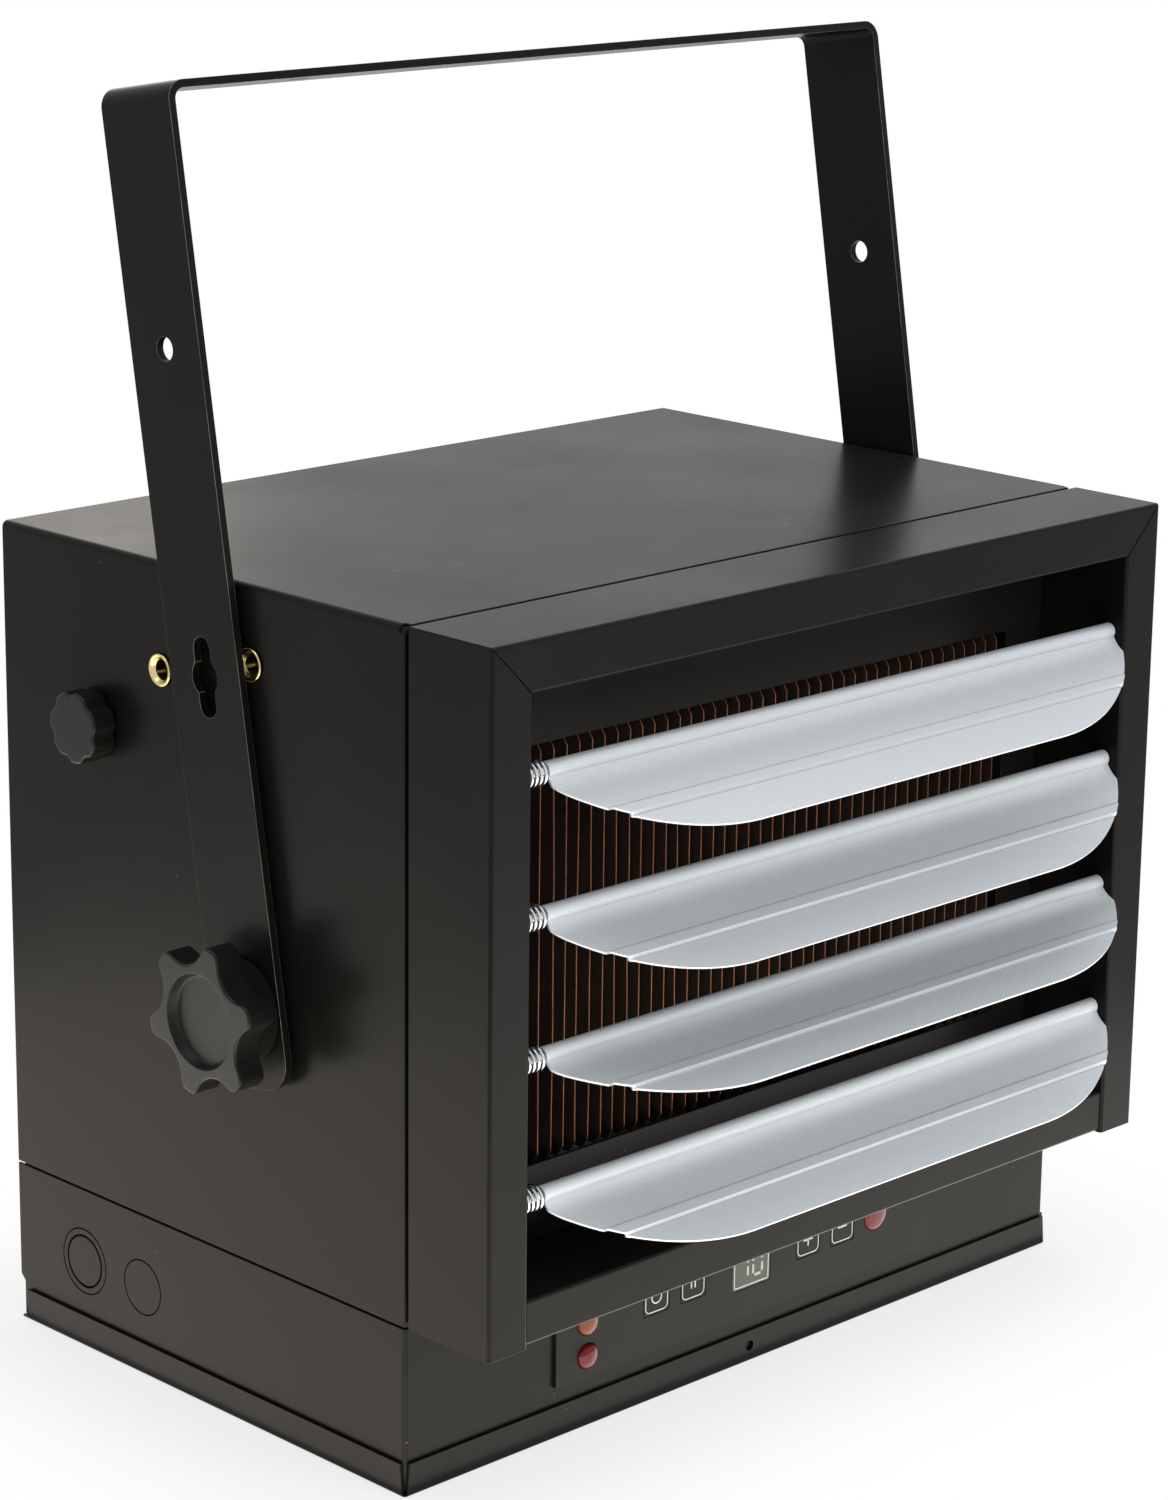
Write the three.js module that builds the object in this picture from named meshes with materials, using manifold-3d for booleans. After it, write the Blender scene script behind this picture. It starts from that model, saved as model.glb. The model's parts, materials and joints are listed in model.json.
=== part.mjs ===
// Ceiling mounted fan heater: a folded sheet cabinet on a control base, a louvre frame
// in front, and a U shaped strap that tilts on two clamp knobs.
// Millimetres. +Z up, the louvres face -Y, the origin is the middle of the base pan's underside.
import * as THREE from 'three';
import { mergeVertices } from 'three/addons/utils/BufferGeometryUtils.js';
import Module from 'manifold-3d';

const wasm = await Module();
wasm.setup();

// ---------------------------------------------------------------- driving dimensions

// Main boxes
const cabinetWidth = 360;
const cabinetDepth = 230;
const cabinetHeight = 259;
const baseHeight = 66;
const frameDepth = 43;

// Sheet metal
const sheet = 1.2;
const past = 1; // how far a cut runs past the face that it opens
const gap = 0.3; // between pieces that touch
const foldRadius = 2.5;
const flangeWidth = 12;
const reliefNotch = 3;

// Louvre frame
const stileWidth = 19;
const topRailHeight = 19;
const topRailReturn = 14;
const bottomRailHeight = 17;
const bottomRailRise = 1;
const bottomRailSetback = 1;

// Louvres: the blade's barrel turns on the pin, and the spring fills the left end
const louvrePitch = 52;
const louvreDrop = 30.7; // from the top rail's lower edge to the first pin
const louvreInset = 7.3; // from the frame's front to the pins
const louvreAngles = [29.6, 30.6, 18, 27.7]; // degrees below level, from the top louvre down
const bladeDepth = 42.8;
const bladeSheet = 0.8;
const barrelRadius = 3.2;
const bladeBeadAt = 24.2;
const bladeBeadWidth = 3.8;
const bladeBeadHeight = 1.4;
const bladeBeadSlope = 0.9;
const bladeFilletWidth = 5.8; // the web rises to the barrel's front over this
const bladeFilletRise = 1.9;
const bladeEndGap = 0.5;
const bladeEndRadius = 93; // each end of the web is one arc that meets the front edge squarely
const bladeTrimLeft = 74; // the front edge is this much shorter than the barrel
const bladeTrimRight = 70.7;
const pinRadius = 2;
const pinClearance = 0.35;
const springLength = 11.6;
const springRadius = 5;
const springWire = 1.3;
const springTurns = 4;
const pinEnd = 2; // beyond the stile's inner wall

// Air window and heating element
const windowWidth = 280;
const windowHeight = 159;
const windowSill = 47;
const finCount = 44;
const finSpan = 277;
const finThickness = 0.6;
const finDepth = 35;
const finHeight = 162;
const finSill = 44;
const finChamfer = 3;
const finSetback = 2.6;
const elementRodRadius = 4;
const elementRodPitch = 36;
const elementRodOverhang = 9;
const elementBracketMargin = 12;
const terminalLength = 16;
const thermostatRadius = 8;
const thermostatDepth = 9;
const thermostatDrop = 2; // below the lower rod
const thermostatTab = [6, 0.8, 6]; // length, thickness and width
const thermostatTabSpacing = 8;

// Fan, motor and rear intake
const intakeRadius = 98;
const intakeLip = 7;
const fanTipGap = 6;
const fanHubRadius = 20;
const fanHubDepth = 22;
const fanBladeCount = 5;
const fanBladePitch = 28; // degrees
const fanBladeRoot = 18;
const fanBladeChord = 54; // at the tip
const fanBladeSweep = 7;
const fanBladeOverlap = 3; // of the blade and the hub
const fanBladeSheet = 1.6;
const motorRadius = 42;
const motorLength = 48;
const motorCapRadius = 28;
const motorCapLength = 7;
const motorCapTaper = 3;
const motorEdge = 4;
const shaftRadius = 4;
const shaftInset = 17; // how far the shaft goes into the motor
const shaftSeat = 3; // the hub's closed end
const fanSetback = 10; // in front of the rear panel's face
const fanRunout = 2; // hub to motor
const mountWidth = 34;
const mountSheet = 2;
const mountTab = 22;
const guardWire = 2.6;
const guardRingStep = 16;
const guardMargin = 8;
const guardSpokes = 4;
const guardWeld = 0.5; // how deep a ring sinks into the spokes

// Base, pan and control panel
const panLipHeight = 13;
const panLipNotch = 2.5;
const panLipRearStop = 6;
const panScrewHole = 2.1;
const panScrewHeight = 6.8;
const baseRearInset = 2.5;
const baseRearCut = 18;
const baseFlange = 10;
const knockoutLargeRadius = 13.6;
const knockoutInnerRadius = 10.9;
const knockoutSmallRadius = 11.3;
const knockoutGroove = 0.9;
const knockoutGrooveDepth = 0.5;
const knockoutHeight = 35.4;
const knockoutLargeFromRear = 41.7;
const knockoutSpacing = 36.1;
const overlayWidth = 211;
const overlayHeight = 43;
const overlayBottom = 20;
const controlRowHeight = 42.4;
const keySize = 13.6;
const keyThickness = 0.6;
const keyTravel = 0.35;
const keyStem = 7;
const keyCollar = 10;
const keyOffsets = [-52.5, -32.5, 32.5, 52.5];
const displaySize = 21;
const displayRebate = 2;
const lampX = -89.2;
const lampRadius = 5;
const lampDome = 2.6;
const lampSpacing = 13.5;
const receiverX = 72.2;
const receiverRadius = 6.5;
const receiverDome = 1.4;
const fittingBody = 9; // depth of lamps and receiver behind the base wall's face
const fittingRebate = 1;
const boardWidth = 140;
const boardHeight = 34;
const boardThickness = 1.6;

// Hanging strap, its pivot and the lock nuts
const pivotSetback = 81.1; // behind the cabinet's front
const pivotHeight = 102; // above the cabinet's floor
const strapWidth = 39;
const strapThickness = 3;
const strapGap = 3;
const strapReach = 334.5; // pivot to the strap's outer top
const strapTail = 30;
const strapTailRadius = 12;
const strapBendRadius = 7;
const strapLean = 9.8; // degrees back
const strapHoleRadius = 4.5;
const strapHoleAt = 241;
const slotStart = 107.4;
const slotEnd = 137.4;
const slotHalfWidth = 4.6;
const slotMouthRadius = 7.2;
const ceilingHoleAt = 110;
const lockRadius = 128;
const lockAngles = [0.8, 24.6, 46.2]; // degrees behind the vertical
const nutFlangeRadius = 6.2;
const nutFlangeThickness = 1;
const nutBodyRadius = 4.5;
const nutBoreRadius = 3.2;
const nutLength = 12;
const pivotNutScale = 1.3; // the pivot's thread is the next size up
const spacerRadius = 15;
const clampStudReach = 4; // past the end of the nut
const lockStudReach = 2;

// Knobs
const clampTip = 29.3;
const clampValley = 21.2;
const clampLobes = 6;
const clampLobeWidth = 8;
const clampPhase = -16.5; // degrees
const clampBoss = 19.5; // radius of the round boss between the strap and the lobes
const clampBossDepth = 10.5;
const clampClearance = 0.6; // between the boss and the strap
const clampDepth = 22;
const clampInsert = 10; // how far the stud reaches into the knob
const clampRecess = 17.8;
const clampRecessDepth = 3.5;
const lockTip = 13.8;
const lockValley = 12.4;
const lockLobes = 7;
const lockLobeWidth = 6.5;
const lockPhase = 5.7; // degrees
const lockDepth = 10.2;
const knobChamfer = 1.2;
const knobSteps = 48;

// Parts inside the base
const relaySize = [32, 27, 26];
const terminalSize = [44, 24, 20];
const terminalPoles = 3;
const terminalSlot = 9.8; // width of the cage over each pole
const terminalSlotDepth = 8;

// ---------------------------------------------------------------- places worked out from them

const side = cabinetWidth / 2;
const front = -cabinetDepth / 2;
const back = cabinetDepth / 2;
const floor = baseHeight;
const roof = baseHeight + cabinetHeight;
const seam = sheet / 2 + gap; // each neighbour's distance from the middle of the baffle plate
const inside = side - sheet;
const innerFold = Math.max(foldRadius - sheet, 0.1);
const frameFront = front - frameDepth;
const frameBack = front - seam;
const stileInner = side - stileWidth;
const baseTop = baseHeight - seam;
const baseFront = front + seam;
const floorTop = baseTop + gap + sheet;
const louvreY = frameFront + louvreInset;
const louvreZ = (index) => roof - topRailHeight - louvreDrop - index * louvrePitch;
const windowMiddle = floor + windowSill + windowHeight / 2;
const fanZ = floor + cabinetHeight / 2;
const finFront = front + sheet / 2 + finSetback - gap * 0.5;
const finMiddle = floor + finSill + finHeight / 2;
const rodY = finFront + finDepth / 2;
const bracketX = finSpan / 2 + elementRodOverhang;
const hubBack = back - fanSetback;
const hubFront = hubBack - fanHubDepth;
const motorBack = hubFront - fanRunout;
const motorShoulder = motorBack - motorCapLength;
const motorFront = motorShoulder - motorLength;
const mountBack = motorFront - gap;
const overlayFront = baseFront - gap - sheet;
const boardFront = baseFront + sheet + gap + keyThickness + keyTravel + 2 * gap;
const pivotY = front + pivotSetback;
const pivotZ = floor + pivotHeight;
const strapInner = side + strapGap;
const strapOuter = strapInner + strapThickness;
const knockoutY = back - knockoutLargeFromRear;
const radians = THREE.MathUtils.degToRad;
const lockPlaces = lockAngles.map((angle) => [
  pivotY + lockRadius * Math.sin(radians(angle)),
  pivotZ + lockRadius * Math.cos(radians(angle)),
]);

// Lamps and receiver: x, z and radius
const roundFittings = [
  [lampX, controlRowHeight - lampSpacing, lampRadius],
  [lampX, controlRowHeight, lampRadius],
  [receiverX, controlRowHeight, receiverRadius],
];

// ---------------------------------------------------------------- solids

// A closed solid from a geometry: shared vertices, no collapsed triangles, faces pointing out
function solid(geometry) {
  const bare = new THREE.BufferGeometry();
  bare.setAttribute('position', geometry.getAttribute('position'));
  if (geometry.index) bare.setIndex(geometry.index);
  const merged = mergeVertices(bare, 1e-4);
  const points = merged.getAttribute('position').array;
  const index = merged.index.array;
  const kept = [];
  let volume = 0;
  for (let i = 0; i < index.length; i += 3) {
    const [a, b, c] = [index[i], index[i + 1], index[i + 2]];
    if (a === b || b === c || c === a) continue;
    kept.push(a, b, c);
    const [p, q, r] = [a, b, c].map((k) => new THREE.Vector3().fromArray(points, 3 * k));
    volume += p.dot(q.cross(r));
  }
  if (volume < 0) {
    for (let i = 0; i < kept.length; i += 3) {
      [kept[i + 1], kept[i + 2]] = [kept[i + 2], kept[i + 1]];
    }
  }
  return new wasm.Manifold(new wasm.Mesh({
    numProp: 3,
    vertProperties: new Float32Array(points),
    triVerts: new Uint32Array(kept),
  }));
}

function surface(body) {
  const mesh = body.getMesh();
  const geometry = new THREE.BufferGeometry();
  geometry.setAttribute('position', new THREE.BufferAttribute(new Float32Array(mesh.vertProperties), 3));
  geometry.setIndex(new THREE.BufferAttribute(new Uint32Array(mesh.triVerts), 1));
  return geometry;
}

function mirrored(body) {
  return solid(surface(body).scale(-1, 1, 1));
}

function joined(bodies) {
  return bodies.reduce((whole, body) => whole.add(body));
}

function box(x0, x1, y0, y1, z0, z1) {
  const geometry = new THREE.BoxGeometry(x1 - x0, y1 - y0, z1 - z0);
  return solid(geometry.translate((x0 + x1) / 2, (y0 + y1) / 2, (z0 + z1) / 2));
}

// Turns a geometry made about +Y so that it stands about the given axis
const standing = {
  x: (geometry) => geometry.rotateZ(-Math.PI / 2),
  y: (geometry) => geometry,
  z: (geometry) => geometry.rotateX(Math.PI / 2),
};
const placed = {
  x: (geometry, u, v) => geometry.translate(0, u, v),
  y: (geometry, u, v) => geometry.translate(u, 0, v),
  z: (geometry, u, v) => geometry.translate(u, v, 0),
};

// A round bar along an axis, through the point (u, v) of the other two
function bar(axis, radius, from, to, u, v, sides = 16) {
  const geometry = new THREE.CylinderGeometry(radius, radius, to - from, sides);
  geometry.translate(0, (from + to) / 2, 0);
  return solid(placed[axis](standing[axis](geometry), u, v));
}

// A turned piece: points are [radius, place along the axis]
function turned(axis, points, u, v, sides = 16) {
  const geometry = new THREE.LatheGeometry(points.map(([r, t]) => new THREE.Vector2(r, t)), sides);
  return solid(placed[axis](standing[axis](geometry), u, v));
}

// An outline pushed along an axis: drawn as (y, z) for x, as (x, z) for y and as (x, y) for z
const layouts = {
  x: new THREE.Matrix4().set(0, 0, 1, 0, 1, 0, 0, 0, 0, 1, 0, 0, 0, 0, 0, 1),
  y: new THREE.Matrix4().set(1, 0, 0, 0, 0, 0, -1, 0, 0, 1, 0, 0, 0, 0, 0, 1),
  z: new THREE.Matrix4(),
};

function pushed(axis, shape, from, to, curveSegments = 5) {
  const geometry = new THREE.ExtrudeGeometry(shape, {
    depth: to - from, bevelEnabled: false, curveSegments,
  });
  geometry.applyMatrix4(layouts[axis]);
  const start = { x: [from, 0, 0], y: [0, to, 0], z: [0, 0, from] }[axis];
  return solid(geometry.translate(...start));
}

function polygon(points) {
  return new THREE.Shape(points.map(([a, b]) => new THREE.Vector2(a, b)));
}

function rectangle(a0, a1, b0, b1) {
  return polygon([[a0, b0], [a1, b0], [a1, b1], [a0, b1]]);
}

// A closed skin through rings of equally many points, with a fan at each end
function loft(rings) {
  const count = rings[0].length;
  const middle = (ring) => ring
    .reduce((sum, point) => sum.map((value, k) => value + point[k]), [0, 0, 0])
    .map((value) => value / count);
  const points = [...rings.flat(), middle(rings[0]), middle(rings.at(-1))];
  const index = [];
  const last = (rings.length - 1) * count;
  for (let k = 0; k < count; k += 1) {
    const next = (k + 1) % count;
    for (let ring = 0; ring < last; ring += count) {
      index.push(ring + k, ring + next, ring + count + next);
      index.push(ring + k, ring + count + next, ring + count + k);
    }
    index.push(points.length - 2, next, k);
    index.push(points.length - 1, last + k, last + next);
  }
  const geometry = new THREE.BufferGeometry();
  geometry.setAttribute('position', new THREE.Float32BufferAttribute(points.flat(), 3));
  geometry.setIndex(index);
  return solid(geometry);
}

// ---------------------------------------------------------------- finishes

const finish = (color, roughness, metalness) => new THREE.MeshStandardMaterial({
  color, roughness, metalness,
});
const blackPaint = finish(0x2b2c2a, 0.45, 0.2);
const greyPaint = finish(0xc3c9cd, 0.4, 0.3);
const zinc = finish(0xc9ccce, 0.3, 0.9);
const yellowZinc = finish(0xc8b45a, 0.35, 0.9);
const copper = finish(0x8a5238, 0.4, 0.8);
const steel = finish(0x8e9296, 0.35, 0.9);
const knobPlastic = finish(0x2f302f, 0.6, 0);
const overlayFilm = finish(0x4a4c4a, 0.45, 0);
const redLens = finish(0xa3202c, 0.2, 0);
const amberLens = finish(0xb5602a, 0.2, 0);
const displayGlass = finish(0x6c6e64, 0.25, 0);
const boardGreen = finish(0x2f5a3a, 0.5, 0);
const housingPlastic = finish(0x1d2226, 0.5, 0);
const darkRubber = finish(0x1c1c1c, 0.8, 0);

// ---------------------------------------------------------------- cabinet

// Inverted U with the front flanges that the baffle plate is screwed to
function cabinetShell() {
  const outer = new THREE.Shape();
  const bend = side - foldRadius;
  const bendZ = roof - foldRadius;
  outer.moveTo(-side, floor);
  outer.lineTo(-inside, floor);
  outer.lineTo(-inside, roof - sheet - innerFold);
  outer.absarc(-inside + innerFold, roof - sheet - innerFold, innerFold, Math.PI, Math.PI / 2, true);
  outer.lineTo(inside - innerFold, roof - sheet);
  outer.absarc(inside - innerFold, roof - sheet - innerFold, innerFold, Math.PI / 2, 0, true);
  outer.lineTo(inside, floor);
  outer.lineTo(side, floor);
  outer.absarc(bend, bendZ, foldRadius, 0, Math.PI / 2, false);
  outer.absarc(-bend, bendZ, foldRadius, Math.PI / 2, Math.PI, false);
  const flangeFront = front + seam;
  const flangeBack = flangeFront + sheet;
  const inner = side - flangeWidth;
  const half = sheet / 2;
  const flanges = [
    box(-side + half, -inner, flangeFront, flangeBack, floor, roof - half - sheet),
    box(inner, side - half, flangeFront, flangeBack, floor, roof - half - sheet),
    box(-side + foldRadius, side - foldRadius, flangeFront, flangeBack, roof - flangeWidth, roof - half),
  ];
  const notch = (x) => box(
    x - reliefNotch, x + reliefNotch, front, front + seam + reliefNotch, roof - reliefNotch, roof + past,
  );
  let shell = joined([pushed('y', outer, front + seam, back), ...flanges]);
  shell = shell.subtract(notch(-side)).subtract(notch(side));
  for (const [y, z] of lockPlaces) {
    shell = shell.subtract(bar('x', nutBodyRadius + gap, -side - past, side + past, y, z, 12));
  }
  const pivotHole = nutBodyRadius * pivotNutScale + gap;
  return shell.subtract(bar('x', pivotHole, -side - past, side + past, pivotY, pivotZ, 12));
}

function airwayFloor() {
  return box(
    -inside + gap, inside - gap, front + seam + sheet + gap, back - sheet - gap, baseTop + gap, floorTop,
  );
}

function rearPanel() {
  const [edge, top] = [inside - gap, roof - sheet - gap];
  const outline = polygon([
    [-edge, floorTop + gap], [edge, floorTop + gap], [edge, top - innerFold],
    [edge - innerFold, top], [-edge + innerFold, top], [-edge, top - innerFold],
  ]);
  const plate = pushed('y', outline, back - sheet, back);
  const lip = bar('y', intakeRadius + sheet, back - sheet - intakeLip, back - sheet / 2, 0, fanZ, 40);
  const hole = bar('y', intakeRadius, back - intakeLip - 2 * sheet, back + past, 0, fanZ, 40);
  return plate.add(lip).subtract(hole);
}

function bafflePlate() {
  const inset = sheet + gap;
  const plate = pushed('y', rectangle(-side + inset, side - inset, floor + inset, roof - inset),
    front - sheet / 2, front + sheet / 2);
  return plate.subtract(box(
    -windowWidth / 2, windowWidth / 2, front - sheet, front + sheet,
    windowMiddle - windowHeight / 2, windowMiddle + windowHeight / 2,
  ));
}

// ---------------------------------------------------------------- louvre frame

// The mitre runs from the frame's outer corner to its inner one. One side of it is cut away.
function mitreCutter(keepBelow) {
  const at = (t, lift) => [-side + t * stileWidth, roof - t * topRailHeight + lift];
  const shift = keepBelow ? -gap : gap;
  const reach = (keepBelow ? 4 : -4) * topRailHeight;
  const outline = polygon([at(-1, shift), at(2, shift), at(2, reach), at(-1, reach)]);
  return pushed('y', outline, frameFront - past, front + past);
}

function frameStile() {
  const inner = -stileInner;
  const channel = polygon([
    [-side, frameBack], [-side, frameFront], [inner, frameFront], [inner, frameBack],
    [inner - sheet, frameBack], [inner - sheet, frameFront + sheet],
    [-inside, frameFront + sheet], [-inside, frameBack],
  ]);
  let stile = pushed('z', channel, floor, roof).subtract(mitreCutter(true));
  for (const k of louvreAngles.keys()) {
    const radius = pinRadius + pinClearance;
    stile = stile.subtract(bar('x', radius, inner - 2 * sheet, inner + sheet, louvreY, louvreZ(k), 12));
  }
  return stile;
}

function frameTopRail() {
  const lower = roof - topRailHeight;
  const returnEnd = frameFront + topRailReturn;
  const channel = polygon([
    [frameBack, roof], [frameFront, roof], [frameFront, lower], [returnEnd, lower],
    [returnEnd, lower + sheet], [frameFront + sheet, lower + sheet],
    [frameFront + sheet, roof - sheet], [frameBack, roof - sheet],
  ]);
  const cutter = mitreCutter(false);
  return pushed('x', channel, -side, side).subtract(cutter).subtract(mirrored(cutter));
}

function frameBottomRail() {
  const low = floor + bottomRailRise;
  const high = low + bottomRailHeight;
  const face = frameFront + bottomRailSetback;
  const channel = polygon([
    [frameBack, low], [face, low], [face, high], [frameBack, high],
    [frameBack, high - sheet], [face + sheet, high - sheet],
    [face + sheet, low + sheet], [frameBack, low + sheet],
  ]);
  return pushed('x', channel, -stileInner + gap, stileInner - gap);
}

// ---------------------------------------------------------------- louvres

// A blade lies along local -Y with its barrel on the X axis. Its ends follow one outline.
const bladeLeft = -stileInner + springLength + 2 * gap;
const bladeRight = stileInner - bladeEndGap;

function louvreBlade() {
  const under = -barrelRadius;
  const over = under + bladeSheet;
  const half = bladeBeadWidth / 2;
  const fillet = (level) => [0, 1, 2].map((k) => [
    -barrelRadius - (bladeFilletWidth * k) / 3, level + bladeFilletRise * (1 - k / 3) ** 3,
  ]);
  const line = (level) => [
    [0, level + bladeFilletRise], ...fillet(level),
    [-barrelRadius - bladeFilletWidth, level], [-bladeBeadAt + half + bladeBeadSlope, level],
    [-bladeBeadAt + half, level + bladeBeadHeight], [-bladeBeadAt - half, level + bladeBeadHeight],
    [-bladeBeadAt - half - bladeBeadSlope, level], [-bladeDepth, level],
  ];
  const web = pushed('x', polygon([...line(under), ...line(over).reverse()]), bladeLeft, bladeRight);
  const barrel = bar('x', barrelRadius, bladeLeft, bladeRight, 0, 0, 12);
  const bore = bar('x', pinRadius + pinClearance, bladeLeft - past, bladeRight + past, 0, 0, 12);
  const sweep = (trim) => Math.asin(Math.min(trim / bladeEndRadius, 1));
  const centre = bladeEndRadius - bladeDepth;
  const down = -Math.PI / 2;
  const start = down - sweep(bladeTrimLeft);
  const end = down + sweep(bladeTrimRight);
  const outline = new THREE.Shape();
  outline.moveTo(bladeRight, barrelRadius + past);
  outline.lineTo(bladeLeft, barrelRadius + past);
  outline.absarc(bladeLeft + bladeTrimLeft, centre, bladeEndRadius, start, down, false);
  outline.absarc(bladeRight - bladeTrimRight, centre, bladeEndRadius, down, end, false);
  const trimmer = pushed('z', outline, under - past, barrelRadius + past, 8);
  return web.add(barrel).intersect(trimmer).subtract(bore);
}

function louvrePin() {
  const end = stileInner + sheet + pinEnd;
  return bar('x', pinRadius, -end, end, 0, 0, 12);
}

// One unbroken wire: a straight end along X, the turns, and a straight end again
const springStep = 8; // steps in a turn
const springSides = 5;

function springPath() {
  const meanRadius = springRadius - springWire / 2;
  const start = -stileInner + gap;
  const end = start + springLength;
  const coilStart = start + springWire;
  const coilEnd = end - springWire;
  const steps = Math.round(springTurns * springStep);
  const around = (t) => [Math.cos(t) * meanRadius, Math.sin(t) * meanRadius];
  const path = [[start, ...around(0)]];
  for (let k = 0; k <= steps; k += 1) {
    const t = (2 * Math.PI * k) / springStep;
    path.push([THREE.MathUtils.lerp(coilStart, coilEnd, k / steps), ...around(t)]);
  }
  path.push([end, ...around((2 * Math.PI * steps) / springStep)]);
  return path.map((point) => new THREE.Vector3(...point));
}

function louvreSpring() {
  const path = springPath();
  const rings = [];
  const outward = (point) => new THREE.Vector3(0, point.y, point.z).normalize();
  for (let k = 0; k < path.length; k += 1) {
    const before = path[Math.max(k - 1, 0)];
    const after = path[Math.min(k + 1, path.length - 1)];
    const here = path[k];
    const ahead = after.clone().sub(here).normalize();
    const behind = here.clone().sub(before).normalize();
    const along = ahead.add(behind).normalize();
    const up = outward(here);
    up.addScaledVector(along, -up.dot(along)).normalize();
    const across = along.clone().cross(up);
    rings.push(Array.from({ length: springSides }, (_, s) => {
      const turn = (2 * Math.PI * s) / springSides;
      return here.clone()
        .addScaledVector(up, Math.cos(turn) * springWire / 2)
        .addScaledVector(across, Math.sin(turn) * springWire / 2)
        .toArray();
    }));
  }
  return loft(rings);
}

// The least gap between two turns of the spring's wire, measured on points of its path
function springGap() {
  const path = new THREE.CatmullRomCurve3(springPath(), false, 'chordal').getSpacedPoints(400);
  const clear = 4 * springWire; // length along the wire within which points belong together
  const lengths = [0];
  for (let k = 1; k < path.length; k += 1) lengths.push(lengths[k - 1] + path[k].distanceTo(path[k - 1]));
  let least = Infinity;
  for (let a = 0; a < path.length; a += 1) {
    for (let b = a + 1; b < path.length; b += 1) {
      if (lengths[b] - lengths[a] > clear) least = Math.min(least, path[a].distanceTo(path[b]));
    }
  }
  return least - springWire;
}

// ---------------------------------------------------------------- heating element

const rodSides = 6;
const bendSteps = 6;

function finnedElement() {
  const fins = [];
  const outline = polygon([
    [finFront + finDepth, finMiddle - finHeight / 2], [finFront + finDepth, finMiddle + finHeight / 2],
    [finFront + finChamfer, finMiddle + finHeight / 2], [finFront, finMiddle + finHeight / 2 - finChamfer],
    [finFront, finMiddle - finHeight / 2 + finChamfer], [finFront + finChamfer, finMiddle - finHeight / 2],
  ]);
  for (let k = 0; k < finCount; k += 1) {
    const x = -finSpan / 2 + (k * finSpan) / (finCount - 1);
    fins.push(pushed('x', outline, x - finThickness / 2, x + finThickness / 2));
  }
  const half = elementRodPitch / 2;
  const start = -bracketX - sheet - terminalLength;
  const turn = bracketX + sheet + gap;
  const rods = [-half, half].map((z) => (
    bar('x', elementRodRadius, start, turn, rodY, finMiddle + z, rodSides)
  ));
  const bend = Array.from({ length: bendSteps + 1 }, (_, k) => {
    const angle = -Math.PI / 2 + (Math.PI * k) / bendSteps;
    return Array.from({ length: rodSides }, (_, s) => {
      const around = (2 * Math.PI * s) / rodSides;
      const reach = half + elementRodRadius * Math.cos(around);
      return [
        turn - gap + reach * Math.cos(angle), rodY + elementRodRadius * Math.sin(around),
        finMiddle + reach * Math.sin(angle),
      ];
    });
  });
  return joined([...fins, ...rods, loft(bend)]);
}

// Plate outside the last fin, from the floor up past both rods
function elementBracket() {
  const plate = box(
    bracketX, bracketX + sheet, finFront, finFront + finDepth, floorTop + gap,
    finMiddle + elementRodPitch / 2 + elementBracketMargin,
  );
  const half = elementRodPitch / 2;
  const hole = (z) => (
    bar('x', elementRodRadius + gap, bracketX - past, bracketX + sheet + past, rodY, finMiddle + z, 10)
  );
  return plate.subtract(hole(-half)).subtract(hole(half));
}

function limitThermostat() {
  const start = -bracketX - sheet - gap;
  const z = finMiddle - elementRodPitch / 2 - elementRodRadius - thermostatRadius - thermostatDrop;
  const cupEnd = start - thermostatDepth;
  const [length, thickness, width] = thermostatTab;
  const cup = bar('x', thermostatRadius, cupEnd, start, rodY, z, 14);
  const tab = (y) => box(
    cupEnd - length, cupEnd + thickness, y - thickness / 2, y + thickness / 2, z - width / 2, z + width / 2,
  );
  return joined([cup, tab(rodY - thermostatTabSpacing / 2), tab(rodY + thermostatTabSpacing / 2)]);
}

// ---------------------------------------------------------------- fan

function fanBlade() {
  const middle = (hubFront + hubBack) / 2;
  const tip = intakeRadius - fanTipGap;
  const root = fanHubRadius - fanBladeOverlap;
  const leading = Math.asin(Math.min((fanBladeChord / 2 + fanBladeSweep) / tip, 1));
  const trailing = Math.asin(Math.min((fanBladeChord / 2 - fanBladeSweep) / tip, 1));
  const outline = new THREE.Shape();
  outline.moveTo(root, fanBladeRoot / 2);
  outline.lineTo(root, -fanBladeRoot / 2);
  outline.absarc(0, 0, tip, -leading, trailing, false);
  const blades = Array.from({ length: fanBladeCount }, (_, k) => {
    const geometry = new THREE.ExtrudeGeometry(outline, {
      depth: fanBladeSheet, bevelEnabled: false, curveSegments: 5,
    });
    geometry.translate(0, 0, -fanBladeSheet / 2);
    geometry.rotateX(Math.PI / 2 - radians(fanBladePitch));
    geometry.rotateY((2 * Math.PI * k) / fanBladeCount);
    return solid(geometry.translate(0, middle, fanZ));
  });
  const hub = bar('y', fanHubRadius, hubFront, hubBack, 0, fanZ, 20);
  const bore = bar('y', shaftRadius + gap, hubFront - past, hubBack - shaftSeat, 0, fanZ, 12);
  return joined([hub, ...blades]).subtract(bore);
}

function motorShaft() {
  return bar('y', shaftRadius, motorBack - shaftInset, hubBack - shaftSeat - gap, 0, fanZ, 12);
}

function fanMotor() {
  const bore = shaftRadius + gap;
  const bottom = motorBack - shaftInset - gap;
  return turned('y', [
    [0, motorFront], [motorRadius - motorEdge, motorFront], [motorRadius, motorFront + motorEdge],
    [motorRadius, motorShoulder - motorEdge], [motorRadius - motorEdge, motorShoulder],
    [motorCapRadius, motorShoulder], [motorCapRadius - motorCapTaper, motorBack],
    [bore, motorBack], [bore, bottom], [0, bottom],
  ], 0, fanZ, 20);
}

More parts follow.
